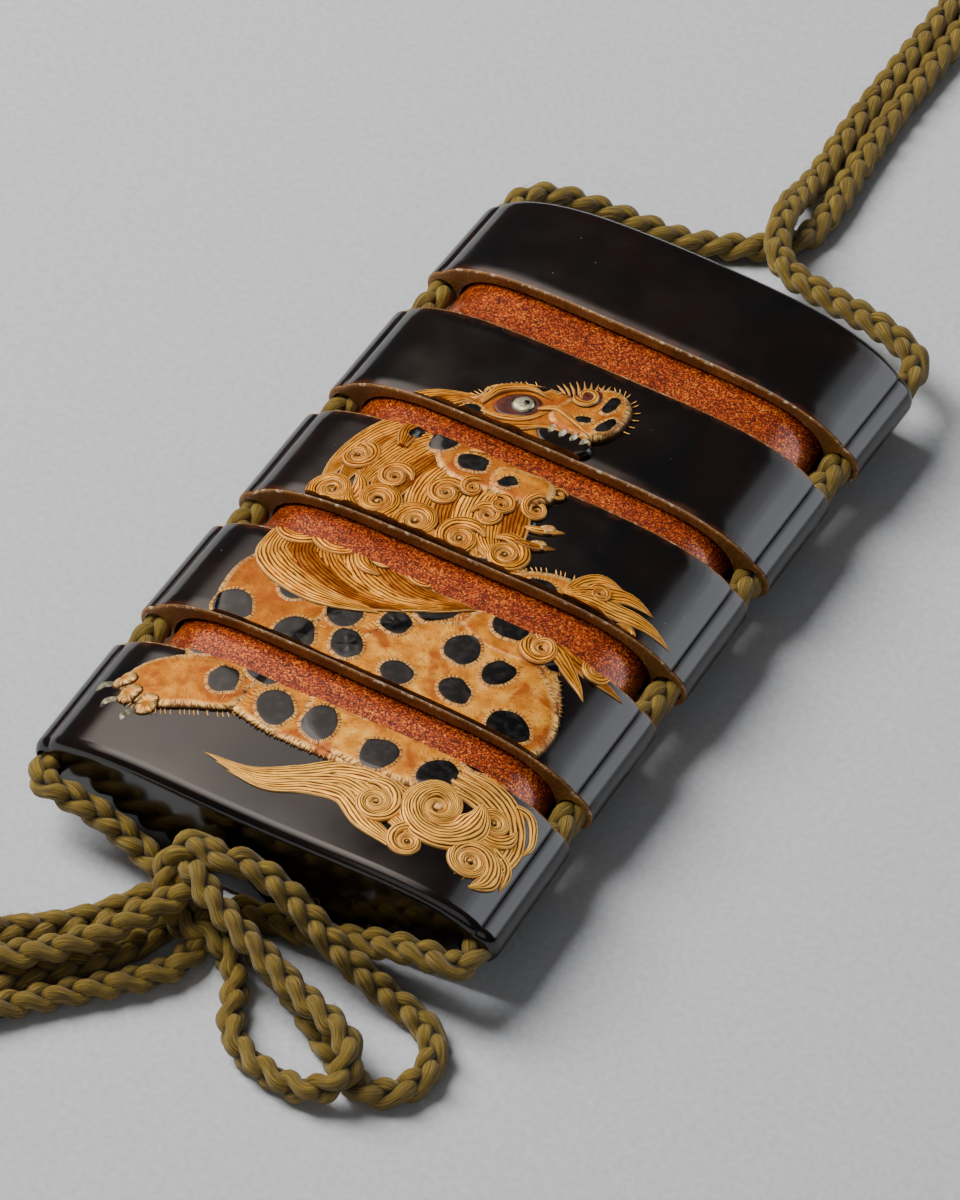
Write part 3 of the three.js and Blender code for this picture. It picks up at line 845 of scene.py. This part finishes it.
def build_body(figure):
    """Back, belly, chest, haunch and paws."""
    torso = figure.patch([(-18, 26), (-20, 19.5), (-16.5, 12.5), (-8, 8.8), (3, 8.2), (13, 9.4), (19.5, 13.5),
                          (21, 19.5), (17.5, 26), (9, 30.5), (-5, 31.5)], 0.4)
    chest = figure.patch([(-19.4, 24.4), (-13, 27.4), (-7.4, 24), (-7.6, 17), (-9.8, 11), (-14, 9.6),
                          (-18.4, 14.6), (-20.2, 19.6)], 0.55, tone=0.42)
    haunch = figure.patch([(-3.4, 14.6), (-2.6, 20.4), (2.6, 25.4), (10, 27.6), (17, 25), (21.2, 19.6),
                           (20.6, 14), (14.6, 9.8), (5, 8.6), (-1.6, 10)], 0.62, tone=0.58)
    paw = figure.patch([(-22.4, 7.6), (-21.6, 11.2), (-16, 14.8), (-9.8, 14), (-9, 9.8), (-13.4, 7.4),
                        (-18.6, 5.6)], 0.6, tone=0.48)
    for x, y, turn in ((-21.9, 8.3, 3.5), (-20.3, 6.6, 3.9), (-17.8, 5.9, 4.3)):
        figure.settle()
        figure.disc(x, y, 1.15, 0.3, GOLD_SKIN, stretch=1.35, turn=turn, roll=0.9)
    figure.settle()
    foreleg = figure.patch([(5, 26.4), (7.4, 30.6), (12.6, 32.2), (17.4, 30.8), (18.4, 27.2), (14.6, 24.6),
                            (9, 24.2)], 0.68, tone=0.45)
    for edge, first, last, length in ((torso, 0.2, 0.5, 0.24), (torso, 0.56, 0.8, 0.24),
                                      (paw, 0.5, 0.95, 0.2), (haunch, 0.0, 0.36, 0.3),
                                      (chest, 0.28, 0.55, 0.24), (foreleg, 0.1, 0.3, 0.28)):
        figure.fringe(edge, first, last, length)
    figure.settle()
    spot_coat(figure, (11.4, 16.9, 22.4, 27.6), 6.6)
    figure.settle()
    for x, y, turn in ((-23.0, 7.9, 3.75), (-21.4, 5.9, 4.05), (-18.7, 4.9, 4.4)):
        tip = (x + 2.1 * math.cos(turn), y + 2.1 * math.sin(turn))
        bend = (x + 1.3 * math.cos(turn - 0.4), y + 1.3 * math.sin(turn - 0.4))
        figure.lock([(x, y), bend, tip], 0.9, 0.4, strands=1, finish=SILVER)


def build_tail(figure):
    """A tail of snails and swept locks, with one lock blown out along the ground."""
    # The tail's locks get high tones: paler gold as a painted sheen, standing for the light they catch on the
    # bottom case.
    figure.fan([(16, 7.4), (10.6, 9.8), (5, 8.8), (0.8, 5.4), (-4, 3), (-10, 3.2)],
               [(13.4, 0.9), (9.8, 1.8), (6.8, 4.4), (3.2, 4.2), (-0.6, 2.1), (-5, 1.6)], 3, spread=1.1,
               tone=0.88)
    figure.fan([(16, 14.3), (22.2, 13.8), (25.2, 9.4), (24.4, 2.2)],
               [(15, 10.6), (20, 10.4), (21.6, 7.4), (20.6, 2.2)], 4, spread=1.4, root=0.35, tone=0.8)
    figure.lock([(20, 12.6), (23.8, 13.6), (25.4, 11), (25, 8.4)], 1.1, tone=0.85)
    figure.lock([(21.4, 8), (24.8, 6.8), (25.5, 3.8)], 1.3, tone=0.85)
    figure.settle()
    figure.curls((10, 5.6, 3.7, 2.4, -1), (21.6, 4.6, 3.9, 5.2, 1), tone=0.85)
    figure.curls((15.2, 2.9, 2.9, 1.0, 1), (21.4, 10, 3.2, 0.4, -1), tone=0.75)
    figure.curl(15.8, 8.5, 6.5, turns=2.8, start=0.6, way=-1, height=0.6, tone=0.88, tighten=0.15)


def build_mane(figure):
    """Swept locks down the neck and over the back, with rows of snails where they meet."""
    # A black lacquer sheet under the mane, so that the gaps between its locks show dark: painted shade
    # between the locks.
    figure.patch([(-12.4, 42.5), (-16.6, 37), (-18.2, 32.4), (-12, 30.6), (-4, 30.4), (3, 31.4),
                  (5, 36), (2, 42), (-5.5, 44.5)], 0.3, INK, roll=2.4)
    figure.settle()
    figure.fan([(-19.4, 31), (-18.8, 25), (-12, 21.8), (-3.6, 22.4)],
               [(-6.6, 32), (-3.4, 28.8), (1, 27.6), (7.2, 29.4)], 5, spread=1.35)
    figure.settle()
    figure.fan([(-10.8, 46), (-16.4, 42.8), (-19.4, 36.4), (-19.6, 30)],
               [(-5.4, 44), (-8.4, 40), (-9.6, 35), (-9, 30)], 5, spread=1.7, root=0.4)
    figure.fan([(-6.8, 42), (-9, 37), (-8, 32), (-3.6, 28.4)],
               [(2.4, 39.4), (3.8, 35.8), (5.4, 32.6), (8, 30)], 5, spread=1.6, root=0.4)
    figure.settle()
    figure.curls((-16.8, 36.4, 2.9, 2.0, -1), (-11.6, 35.2, 2.7, 0.2, 1), (-5.6, 35.8, 2.8, 0.6, 1),
                 (0, 35.2, 2.4, 3.4, -1))
    for layer in (0, 1):
        for step in range(layer, 5, 2):
            figure.curl(-16.8 + 5.3 * step, 30.8 + 0.5 * math.sin(2 * step), 4.5 - 0.25 * step,
                        start=1.2 + 1.9 * step, way=1 if step % 2 else -1, height=0.4 + 0.1 * layer)
        figure.settle()


def build_flames(figure):
    """The tuft of the raised foreleg, blown out to the right in flame-like locks."""
    for tip, bend, width in (((17.6, 34), (14.4, 33.6), 2.0), ((21.8, 33), (18, 33.2), 2.3),
                             ((25, 30.8), (21.2, 31.4), 2.4), ((24.6, 27.6), (21, 28), 2.3),
                             ((21.4, 24.6), (19.4, 26.2), 2.1)):
        figure.lock([(12.6, 29.6), bend, tip], width, root=0.4)
    figure.settle()
    figure.curls((14.6, 27.4, 2.7, 2.6, 1), (20.4, 29, 2.2, 0.2, -1), (15.8, 31.6, 1.7, 3.2, -1))


def build_head(figure):
    """The head, lifted and looking to the right, with its jaws a little open."""
    skull = figure.patch([(-11.4, 43), (-10.4, 46.4), (-7.4, 49.6), (-3.6, 51.2), (0.2, 51), (3, 49),
                          (4.2, 45.4), (3.4, 41.6), (0.5, 39), (-4, 37.6), (-8.6, 38.8)], 0.85, tone=0.4)
    figure.patch([(-2.8, 42.2), (1.6, 43.4), (4.6, 42.6), (4.8, 40), (1.4, 38), (-2.6, 39)], 1.0, tone=0.5)
    figure.patch([(-2.4, 44.8), (2.2, 46.2), (4.8, 45), (3.4, 43), (-0.6, 43)], 0.92, INK, roll=0.5)
    muzzle = figure.patch([(-2.2, 46.6), (-1.8, 50), (0.2, 53), (3, 54.4), (5.4, 53), (6, 49.8), (4.6, 46.6),
                           (1.2, 45.4)], 1.1, tone=0.45)
    figure.settle()
    figure.fringe(muzzle, 0.3, 0.62, 0.24, spacing=0.7)
    figure.fringe(skull, 0.06, 0.22, 0.4)
    figure.disc(-5.5, 46.6, 1.75, 0.14, RED_LACQUER, stretch=1.55, turn=0.65, roll=0.3)
    figure.disc(0.6, 51.4, 1.5, 0.16, RED_LACQUER, stretch=1.1, turn=0.9, roll=0.5)
    for x, y, radius, stretch, turn in ((-8.8, 47.9, 0.95, 1.7, 0.9), (-5.2, 50.2, 0.8, 1.9, 0.3),
                                        (-9.6, 42.6, 1.6, 1.2, 1), (-5.2, 41, 1.3, 1.4, 0.2),
                                        (3.4, 51.6, 0.8, 1.6, 1.4), (4.4, 48.6, 0.75, 1.8, 1.2),
                                        (1.8, 48.2, 0.6, 1.6, 0.4), (-0.4, 40.4, 0.9, 1.3, 0.5)):
        figure.disc(x, y, radius + 0.25, 0.08, SPOT, stretch=stretch, turn=turn, uneven=0.12)
    figure.settle()
    figure.disc(-5, 46.9, 1.3, 0.1, INK, stretch=1.12, turn=0.6, roll=0.4)
    figure.settle()
    figure.disc(-5, 46.9, 1.12, 0.24, SILVER, stretch=1.12, turn=0.6, roll=0.9)
    figure.settle()
    figure.disc(-4.7, 47.1, 0.42, 0.08, INK, roll=0.3)
    figure.lock([(-9.2, 44.8), (-8.4, 47.6), (-5.8, 49.4), (-2.6, 49.2)], 1.2, strands=4, height=0.45)
    figure.lock([(-8.6, 43.9), (-6, 44.2), (-3.4, 45.6), (-2, 47.6)], 0.9, strands=3)
    figure.lock([(-3.4, 47.2), (-1.6, 48.2), (1.6, 47.2), (3.6, 46.4)], 0.9, strands=3)
    figure.lock([(-6.4, 42.6), (-3.8, 43.8), (-1.4, 45.4), (1.4, 45.6)], 1.2, strands=4)
    figure.settle()
    figure.curl(0.5, 51.4, 1.9, turns=1.15, start=3.6, way=1, height=0.3)
    for hair in range(9):  # along the brow
        lean = math.radians(80 + 9 * hair)
        length = 2.5 - 0.12 * abs(hair - 4)
        x, y = 1.2 - 0.42 * hair, 52.9 - 0.2 * hair
        tip = (x + length * math.cos(lean), y + length * math.sin(lean))
        bend = ((x + tip[0]) / 2 + 0.2, (y + tip[1]) / 2)
        figure.lock([(x, y), bend, tip], 0.34, 0.2, strands=1, tone=0.6)
    for x, lean in ((-0.6, -1.5), (0.8, -1.6), (2.2, -1.75), (3.5, -1.9)):  # the teeth
        tooth = [(x + reach * math.cos(lean), 45.9 + 1.5 * reach * math.sin(lean)) for reach in (0, 0.4, 0.8)]
        figure.lock(tooth, 0.8, 0.25, strands=1, root=0.9, finish=SILVER)
    figure.lock([(-13.2, 39.6), (-13.6, 42.8), (-11.4, 44.6), (-9.6, 44.8)], 2.4, 0.5, strands=6)
    figure.settle()
    figure.disc(-12.8, 42.2, 0.6, 0.06, INK, stretch=2.0, turn=1.2, roll=0.3)
    figure.curls((4, 38.8, 2.2, 1.4, 1), (0.6, 37.2, 2, 2.4, -1), (-3.4, 37.9, 1.9, 1.2, 1),
                 (5, 42, 1.4, 0.6, 1))
    for x, y, radius in ((6.4, 37, 0.8), (6.6, 34.4, 0.9)):
        figure.disc(x, y, radius, 0.5, GOLD_SKIN, stretch=1.4, turn=0.5, roll=0.6)
        figure.lock([(x - 2.2, y - 1), (x, y - 0.3), (x + 2, y + 0.7)], 1.1, 0.5, strands=3)


SLOPE_REACH = 0.05


def face_slope(x):
    """The slope of the front across the case, kept finite where it meets the bead."""
    left, right = max(x - SLOPE_REACH, -VALLEY_X), min(x + SLOPE_REACH, VALLEY_X)
    return (lens_height(right) - lens_height(left)) / (2 * SLOPE_REACH)


def lay_relief(figure, section, seam):
    """The part of the figure that lies on one section, cut off at its rims and bent over its front."""
    name, height, *_ = section
    bm = figure.bm.copy()
    for cut_at, way in ((seam + RIM_ROUND, -1), (seam + height - RIM_ROUND, 1)):
        geometry = bm.verts[:] + bm.edges[:] + bm.faces[:]
        made = bmesh.ops.bisect_plane(bm, geom=geometry, plane_co=(0, cut_at, 0), plane_no=(0, way, 0),
                                      clear_outer=True)
        loops = [edge for edge in made["geom_cut"] if isinstance(edge, bmesh.types.BMEdge)]
        bmesh.ops.edgeloop_fill(bm, edges=loops, mat_nr=CUT)
    bmesh.ops.recalc_face_normals(bm, faces=bm.faces)
    for vert in bm.verts:
        x, y, out = vert.co
        slope = face_slope(x)
        steep = math.sqrt(1 + slope * slope)
        vert.co = (x - out * slope / steep, y - seam, lens_height(x) + out / steep)
    bmesh.ops.transform(bm, matrix=place(section), verts=bm.verts)
    finish_piece(bm, name + "_relief", relief_finishes)


def build_figure():
    """Builds the figure in one, then lays its parts on the four cases."""
    figure = Figure()
    figure.settle()
    build_body(figure)
    build_tail(figure)
    build_mane(figure)
    build_flames(figure)
    build_head(figure)
    seam = 0.0
    for section in SECTIONS:
        if section[0] != "lid":
            lay_relief(figure, section, seam)
        seam += section[1]
    figure.bm.free()


build_figure()

# ---- the silk cord
# Routes of the free lengths, in metres. The bow's one length runs from the left channel through its
# knot, round four loops and up over the knot, and into the right channel.

BOW_ROUTE = [
    (-0.0253, -0.0462, 0.00675), (-0.0253, -0.0491, 0.0068), (-0.0244, -0.0505, 0.0068),
    (-0.022, -0.0507, 0.0067), (-0.019, -0.0506, 0.0061), (-0.016, -0.0506, 0.0052),
    (-0.013, -0.0509, 0.0042), (-0.0098, -0.0516, 0.0032), (-0.006, -0.0526, 0.0024),
    (-0.0032, -0.0528, 0.0026), (-0.0022, -0.053, 0.004),
    # outer loop on the left
    (-0.004, -0.0534, 0.0049), (-0.0065, -0.055, 0.0044), (-0.009, -0.0573, 0.0033),
    (-0.0114, -0.0596, 0.0023), (-0.014, -0.0618, 0.0017), (-0.0168, -0.064, 0.0015),
    (-0.0198, -0.0662, 0.0015), (-0.0232, -0.0684, 0.0015), (-0.0266, -0.0714, 0.0015),
    (-0.0283, -0.0756, 0.0015), (-0.0268, -0.0798, 0.0015), (-0.0228, -0.0818, 0.0015),
    (-0.0186, -0.0799, 0.0015), (-0.0154, -0.0763, 0.0015), (-0.0129, -0.0733, 0.0015),
    (-0.0104, -0.0707, 0.0015), (-0.0078, -0.0681, 0.0015), (-0.0051, -0.0655, 0.0015),
    (-0.0027, -0.0628, 0.0015), (-0.0013, -0.0601, 0.0015), (-0.0013, -0.0578, 0.0016),
    (-0.002, -0.0556, 0.0022), (-0.0026, -0.0538, 0.0038),
    # inner loop on the left
    (-0.0032, -0.0546, 0.0062), (-0.005, -0.0574, 0.006), (-0.007, -0.0606, 0.0055),
    (-0.0092, -0.0638, 0.005), (-0.0116, -0.0668, 0.0047), (-0.0144, -0.0692, 0.0044),
    (-0.0176, -0.0706, 0.0034), (-0.0208, -0.0711, 0.002), (-0.0238, -0.0725, 0.0015),
    (-0.025, -0.0753, 0.0015), (-0.0232, -0.0778, 0.0015), (-0.0204, -0.0772, 0.0015),
    (-0.0184, -0.0744, 0.0015), (-0.0162, -0.0717, 0.0015), (-0.0138, -0.0692, 0.0015),
    (-0.0112, -0.0667, 0.0015), (-0.0088, -0.064, 0.0015), (-0.0069, -0.0612, 0.0015),
    (-0.0058, -0.0586, 0.0015), (-0.0052, -0.056, 0.0017), (-0.005, -0.0538, 0.004),
    (-0.0046, -0.0532, 0.0066),
    # small loop on the right
    (-0.003, -0.054, 0.0086), (-0.0006, -0.0556, 0.0082), (0.003, -0.0569, 0.0073),
    (0.0062, -0.0578, 0.0065), (0.0096, -0.0588, 0.0056), (0.013, -0.0598, 0.005),
    (0.0164, -0.0608, 0.0049), (0.0192, -0.0618, 0.0048), (0.0214, -0.0638, 0.0045),
    (0.0214, -0.0663, 0.0033), (0.0186, -0.068, 0.0019), (0.0146, -0.068, 0.0015),
    (0.0108, -0.0671, 0.0015), (0.0078, -0.065, 0.0015), (0.0062, -0.0622, 0.0015),
    (0.005, -0.0597, 0.0015), (0.0031, -0.0577, 0.0018), (0.0006, -0.0566, 0.0024),
    # up over the knot
    (-0.003, -0.0568, 0.0028), (-0.0058, -0.0559, 0.0044), (-0.007, -0.0537, 0.0066),
    (-0.006, -0.0518, 0.0086), (-0.0038, -0.0513, 0.0096),
    # large loop on the right
    (-0.0016, -0.052, 0.0096), (0.0006, -0.0511, 0.0094), (0.0034, -0.051, 0.009),
    (0.0064, -0.0514, 0.0081), (0.0094, -0.0521, 0.007), (0.0124, -0.0529, 0.0059),
    (0.0154, -0.0533, 0.0044), (0.0184, -0.0534, 0.0028), (0.021, -0.0536, 0.0018),
    (0.0238, -0.0541, 0.0015), (0.0262, -0.0556, 0.0015), (0.0276, -0.058, 0.0015),
    (0.0277, -0.0609, 0.0015), (0.0263, -0.0635, 0.0015), (0.0238, -0.0647, 0.0015),
    (0.0212, -0.064, 0.0015), (0.0185, -0.0624, 0.0015), (0.0154, -0.0605, 0.0015),
    (0.0122, -0.0585, 0.0015), (0.009, -0.0568, 0.0015), (0.0058, -0.0552, 0.0015),
    (0.0024, -0.0539, 0.0015), (-0.0004, -0.0526, 0.0016),
    # and away to the right channel
    (0.0002, -0.0512, 0.0015), (0.0034, -0.0506, 0.0015), (0.007, -0.0506, 0.0019),
    (0.0108, -0.0505, 0.003), (0.0146, -0.0503, 0.0045), (0.0186, -0.0501, 0.006),
    (0.0224, -0.05, 0.0068), (0.0251, -0.05, 0.0069), (0.0262, -0.0486, 0.0068),
    (0.026, -0.0451, 0.00675),
]
LEFT_TOP_ROUTE = [
    (-0.0253, 0.0458, 0.00675), (-0.0255, 0.05, 0.0068), (-0.0249, 0.0522, 0.0066),
    (-0.0226, 0.0546, 0.0058), (-0.0184, 0.0566, 0.0043), (-0.0136, 0.0581, 0.0029),
    (-0.0084, 0.0594, 0.0019), (-0.0036, 0.0616, 0.0015), (0.0006, 0.0642, 0.0015),
    (0.0032, 0.0674, 0.0015), (0.0037, 0.072, 0.0015), (0.003, 0.08, 0.0015), (0.0024, 0.0897, 0.0015),
    (0.0024, 0.098, 0.0015), (0.0025, 0.1066, 0.0015), (0.0027, 0.114, 0.0015), (0.0027, 0.119, 0.0018),
    (0.0022, 0.1225, 0.0028),
]
RIGHT_TOP_ROUTE = [
    (0.026, 0.0451, 0.00675), (0.0263, 0.0494, 0.0068), (0.0253, 0.0517, 0.0069),
    (0.022, 0.0533, 0.007), (0.0182, 0.0546, 0.0066), (0.0144, 0.0556, 0.0061), (0.0106, 0.0566, 0.0056),
    (0.007, 0.0577, 0.0052), (0.0041, 0.0595, 0.005), (0.0022, 0.0622, 0.0049), (0.0011, 0.0654, 0.0049),
    (0.0003, 0.0688, 0.0041), (-0.0001, 0.0726, 0.0025), (-0.0003, 0.077, 0.0015),
    (-0.0006, 0.083, 0.0015), (-0.0008, 0.0897, 0.0015), (-0.0008, 0.098, 0.0015),
    (-0.0007, 0.1066, 0.0015), (-0.0007, 0.114, 0.0015), (-0.0007, 0.119, 0.0018),
    (-0.0002, 0.1225, 0.0028),
]

STRANDS = 3
STRAND_RADIUS = 0.9
STRAND_THIN = 0.86  # a strand's thickness in the middle and at the edges of the cord,
STRAND_SWELL = 0.22  # and how much more it has where it crosses over or under another
BRAID_SWING = 0.8  # how far a strand swings out from the cord's middle line
BRAID_RISE = 0.5
BRAID_PITCH = 9.8
BRAID_STEP = 0.35
BRAID_TWIST = 0.4  # how far the braid rolls about its middle line, in radians,
BRAID_TWIST_RATE = 0.07  # and how soon it rolls back, per millimetre
TUBE_RESOLUTION = 4
STRAY_RADIUS = 0.016
STRAYS_PER_MM = 1.8
STRAY_ROOT = 1.1
STRAY_LIFT = 0.05


def strand_course(path, strand, puff):
    """Where one strand of the plait runs about the cord's middle line, and how thick it is there. It
    swings from edge to edge, over the others on its way in and under them on its way out."""
    side = (path[1] - path[0]).cross(Vector((0, 0, 1))).normalized()
    run = 0.0
    course = []
    for i, point in enumerate(path):
        along = (path[min(i + 1, len(path) - 1)] - path[max(i - 1, 0)]).normalized()
        side = (side - along * side.dot(along)).normalized()
        up = side.cross(along)
        roll = BRAID_TWIST * noise.noise(point * BRAID_TWIST_RATE)
        across = side * math.cos(roll) + up * math.sin(roll)
        rise = up * math.cos(roll) - side * math.sin(roll)
        phase = 2 * math.pi * (run / BRAID_PITCH + strand / STRANDS)
        over = -math.sin(2 * phase)
        grown = puff(i / (len(path) - 1))
        out = across * (BRAID_SWING * math.sin(phase)) + rise * (BRAID_RISE * over)
        place_at = point + out * grown
        thick = grown * (STRAND_THIN + STRAND_SWELL * over * over)
        place_at.z = max(place_at.z, thick * STRAND_RADIUS)
        course.append((place_at, thick))
        if i + 1 < len(path):
            run += (path[i + 1] - point).length
    return course


def stray_course(path, chance):
    """A filament that has worked loose: a fine arc standing off the cord."""
    i = chance.randrange(6, len(path) - 6)
    along = (path[i + 1] - path[i - 1]).normalized()
    side = along.cross(Vector((0, 0, 1))).normalized()
    angle = chance.uniform(-0.15, 1.15) * math.pi
    out = side * math.cos(angle) + side.cross(along) * math.sin(angle)
    reach, drag = chance.uniform(0.2, 0.9), chance.uniform(-1.6, 1.6)
    root = path[i] + out * STRAY_ROOT
    course = [root + out * (reach * math.sin(2.6 * share)) + along * (drag * share)
              for share in (0, 0.3, 0.6, 0.85, 1)]
    for point in course:
        point.z = max(point.z, STRAY_LIFT)
    return [(point, 1.0) for point in course]


def tubes(courses, radius, resolution):
    """Open round tubes along courses of points with their thickness."""
    curve = bpy.data.curves.new("tubes", "CURVE")
    curve.dimensions = "3D"
    curve.bevel_depth = radius
    curve.bevel_resolution = resolution
    for course in courses:
        spline = curve.splines.new("POLY")
        spline.points.add(len(course) - 1)
        for point, (place_at, thick) in zip(spline.points, course):
            point.co = (*place_at, 1)
            point.radius = thick
    shape = new_object("tubes", curve)
    mesh = evaluated_mesh(shape)
    bpy.data.objects.remove(shape)
    return mesh


def braid(name, paths, replaced, puff=lambda share: 1.0):
    """A braided cord along each path, in millimetres, as one piece."""
    sides = 4 + 2 * TUBE_RESOLUTION
    girth = 2 * math.pi * STRAND_RADIUS
    chance = random.Random(SEED + len(paths[0]))
    bm = bmesh.new()
    bm.from_mesh(tubes([strand_course(path, strand, puff) for path in paths for strand in range(STRANDS)],
                       STRAND_RADIUS, TUBE_RESOLUTION))
    crevice_shade = bm.verts.layers.float.new("crevice_shade")
    around = bm.loops.layers.uv.verify()
    bm.verts.ensure_lookup_table()
    rings = [(point, ring) for path in paths for _ in range(STRANDS) for ring, point in enumerate(path)]
    # Painted crevice shade: highest at the cord's middle line, falling to nothing at its surface.
    for vert in bm.verts:
        middle = rings[vert.index // sides][0]
        vert[crevice_shade] = 1 - (vert.co - middle).length / (CORD_THICKNESS / 2)
    for face in bm.faces:
        corners = [(loop.vert.index % sides, rings[loop.vert.index // sides][1]) for loop in face.loops]
        wraps = max(k for k, _ in corners) - min(k for k, _ in corners) > sides / 2
        for loop, (k, ring) in zip(face.loops, corners):
            turned = k + sides if wraps and k < sides / 2 else k
            loop[around].uv = (turned / sides * girth, ring * BRAID_STEP)
    strays = [stray_course(path, chance) for path in paths
              for _ in range(round(len(path) * BRAID_STEP * STRAYS_PER_MM))]
    bm.from_mesh(tubes(strays, STRAY_RADIUS, 0))
    bmesh.ops.holes_fill(bm, edges=[edge for edge in bm.edges if edge.is_boundary])
    return finish_piece(bm, name, [silk_finish], replaced)


def route_mm(route):
    """A route's smooth course, in millimetres."""
    return smooth_path([Vector(point) / MM for point in route], BRAID_STEP)


CHANNEL_MOUTH = 0.5  # how far inside a channel's end the cord follows it
SQUEEZED, SWOLLEN = 0.92, 1.06
SWELL_REACH = 0.6  # how far into a channel the swelling reaches


def channel_path(side):
    """Through the channels of one side and across the gaps between the sections."""
    stops = []
    for section in SECTIONS:
        for y in (CHANNEL_MOUTH, section[1] - CHANNEL_MOUTH):
            stops.append(place(section) @ Vector((side * CHANNEL_X, y, 0)))
    return smooth_path(stops, BRAID_STEP)


def channel_puff(share):
    """The cord is squeezed in the channels and swells in the gaps."""
    first, last = SECTIONS[0][3], SECTIONS[-1][3] + LID_HEIGHT
    y = first + (last - first) * share
    grown = SQUEEZED
    for (_, height, _, lower, _), (_, _, _, upper, _) in zip(SECTIONS, SECTIONS[1:]):
        middle, half = (lower + height + upper) / 2, (upper - lower - height) / 2
        inside = max(0.0, abs(y - middle) - half) / SWELL_REACH
        grown = max(grown, SWOLLEN - (SWOLLEN - SQUEEZED) * inside)
    return grown


for label, side in (("left", -1), ("right", 1)):
    braid(label + "_channel_braid", [channel_path(side)], [label + "_channel_cord"], channel_puff)

bow_path = route_mm(BOW_ROUTE)
bow = braid("bow_cord", [bow_path],
            ["bow_left_lead", "bow_right_lead", "bow_loop_large", "bow_loop_small", "bow_loop_outer",
             "bow_loop_inner", "bow_knot"])


WRAPS = 2.5
WRAP_POINTS = 40
WRAP_SIZE = Vector((2.9, 3, 1.85))  # half the width, length and height of the wraps


def end_knot_path():
    """Two and a half flat turns of the cord round its own two ends."""
    low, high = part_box("end_knot")
    points = []
    for i in range(WRAP_POINTS + 1):
        angle = 2 * math.pi * WRAPS * i / WRAP_POINTS
        out = Vector((math.cos(angle), 2 * i / WRAP_POINTS - 1, math.sin(angle)))
        points.append((low + high) / 2 / MM + out * WRAP_SIZE)
    return smooth_path(points, BRAID_STEP)


end_knot = braid("end_knot_wraps", [end_knot_path()], ["end_knot"])
for label, route in (("left", LEFT_TOP_ROUTE), ("right", RIGHT_TOP_ROUTE)):
    path = route_mm(route)
    cord = braid(label + "_top_braid", [path], [label + "_top_cord"])

# ---- floor, light and camera

CARD_DISTANCE = 2000  # from the case to a card
FLOOR_SIZE = 4.0  # half its side, in metres
LENS = 225
SENSOR = 36
CAMERA_PLACE = Vector((0.219398, -0.381924, 0.487588))  # in metres
CAMERA_AHEAD = Vector((-0.33528, 0.58143, -0.74130))
CAMERA_UP = Vector((-0.38058, 0.63620, 0.67113))


def soft_panel(name, size, strength, tint="#ffffff"):
    """A rectangular light of this size, in millimetres."""
    data = bpy.data.lights.new(name, "AREA")
    data.shape = "RECTANGLE"
    data.size, data.size_y = (side * MM for side in size)
    data.energy = strength
    data.color = colour(tint)[:3]
    return new_object(name, data)


def aimed_panel(name, size, centre, strength):
    """A soft light that faces the case."""
    light = soft_panel(name, size, strength)
    light.location = Vector(centre) * MM
    light.rotation_euler = (-Vector(centre)).to_track_quat("-Z", "Y").to_euler()
    return light


def gloss_card(name, turns, rises, glow, tint):
    """A card seen only in glossy surfaces. It fills the directions between two angles about the case's
    length, from straight up towards the right, and two rises towards the lid, in degrees."""
    turn, rise = (math.radians(sum(angles) / 2) for angles in (turns, rises))
    turn_reach, rise_reach = (math.radians(angles[1] - angles[0]) / 2 for angles in (turns, rises))
    width = 2 * CARD_DISTANCE * math.tan(turn_reach * math.cos(rise))
    height = 2 * CARD_DISTANCE * math.tan(rise_reach)
    card = soft_panel(name, (width, height), glow * math.pi * width * height * MM * MM, tint)
    card.matrix_world = (Matrix.Rotation(turn, 4, "Y") @ Matrix.Rotation(-rise, 4, "X")
                         @ Matrix.Translation((0, 0, CARD_DISTANCE * MM)))
    card.visible_diffuse = False


def make_floor():
    """The paper under the case, far wider than the view. It isn't part of the object."""
    bm = bmesh.new()
    bmesh.ops.create_grid(bm, x_segments=1, y_segments=1, size=FLOOR_SIZE)
    mesh = bpy.data.meshes.new("floor")
    bm.to_mesh(mesh)
    bm.free()
    mesh.materials.append(paper())
    new_object("floor", mesh)


def make_camera():
    """A long lens, looking down on the front from beyond the bottom end and to the right."""
    ahead = CAMERA_AHEAD.normalized()
    right = ahead.cross(CAMERA_UP).normalized()
    up = right.cross(ahead)
    data = bpy.data.cameras.new("camera")
    data.lens = LENS
    data.sensor_width = SENSOR
    data.sensor_fit = "HORIZONTAL"
    data.clip_start, data.clip_end = 0.01, 20
    camera = new_object("camera", data)
    turned = Matrix((right, up, -ahead)).transposed().to_4x4()
    camera.matrix_world = Matrix.Translation(CAMERA_PLACE) @ turned
    bpy.context.scene.camera = camera


def make_world():
    """The studio's dim, slightly cool surroundings."""
    world = bpy.data.worlds.new("studio")
    world.use_nodes = True
    put(world.node_tree.nodes["Background"], Color=colour("#d8dce2"), Strength=0.09)
    bpy.context.scene.world = world


make_floor()
make_camera()
make_world()
key = aimed_panel("key", (420, 700), (-620, 20, 700), 16.8)
key.visible_glossy = False
aimed_panel("fill", (900, 500), (250, -700, 500), 0.9)
for step in range(4):
    # Cards laid over one another, each a little smaller, so that their shine fades out at one side.
    gloss_card(f"right_card_{step}", (14.5 + 7 * step, 92 - 4 * step), (15, 60),
               (1.0, 0.35, 0.7, 0.8)[step], "#f2f7ff")
    gloss_card(f"sheen_{step}", (-64 + 2 * step, -19 - 2 * step), (20, 35.3 - 0.8 * step), 0.66,
               "#fff0e4")
    gloss_card(f"end_card_{step}", (-52 + 3 * step, 8 - 6 * step), (-30 + 9 * step, 25 - 2 * step),
               1.2, "#fff0e4")
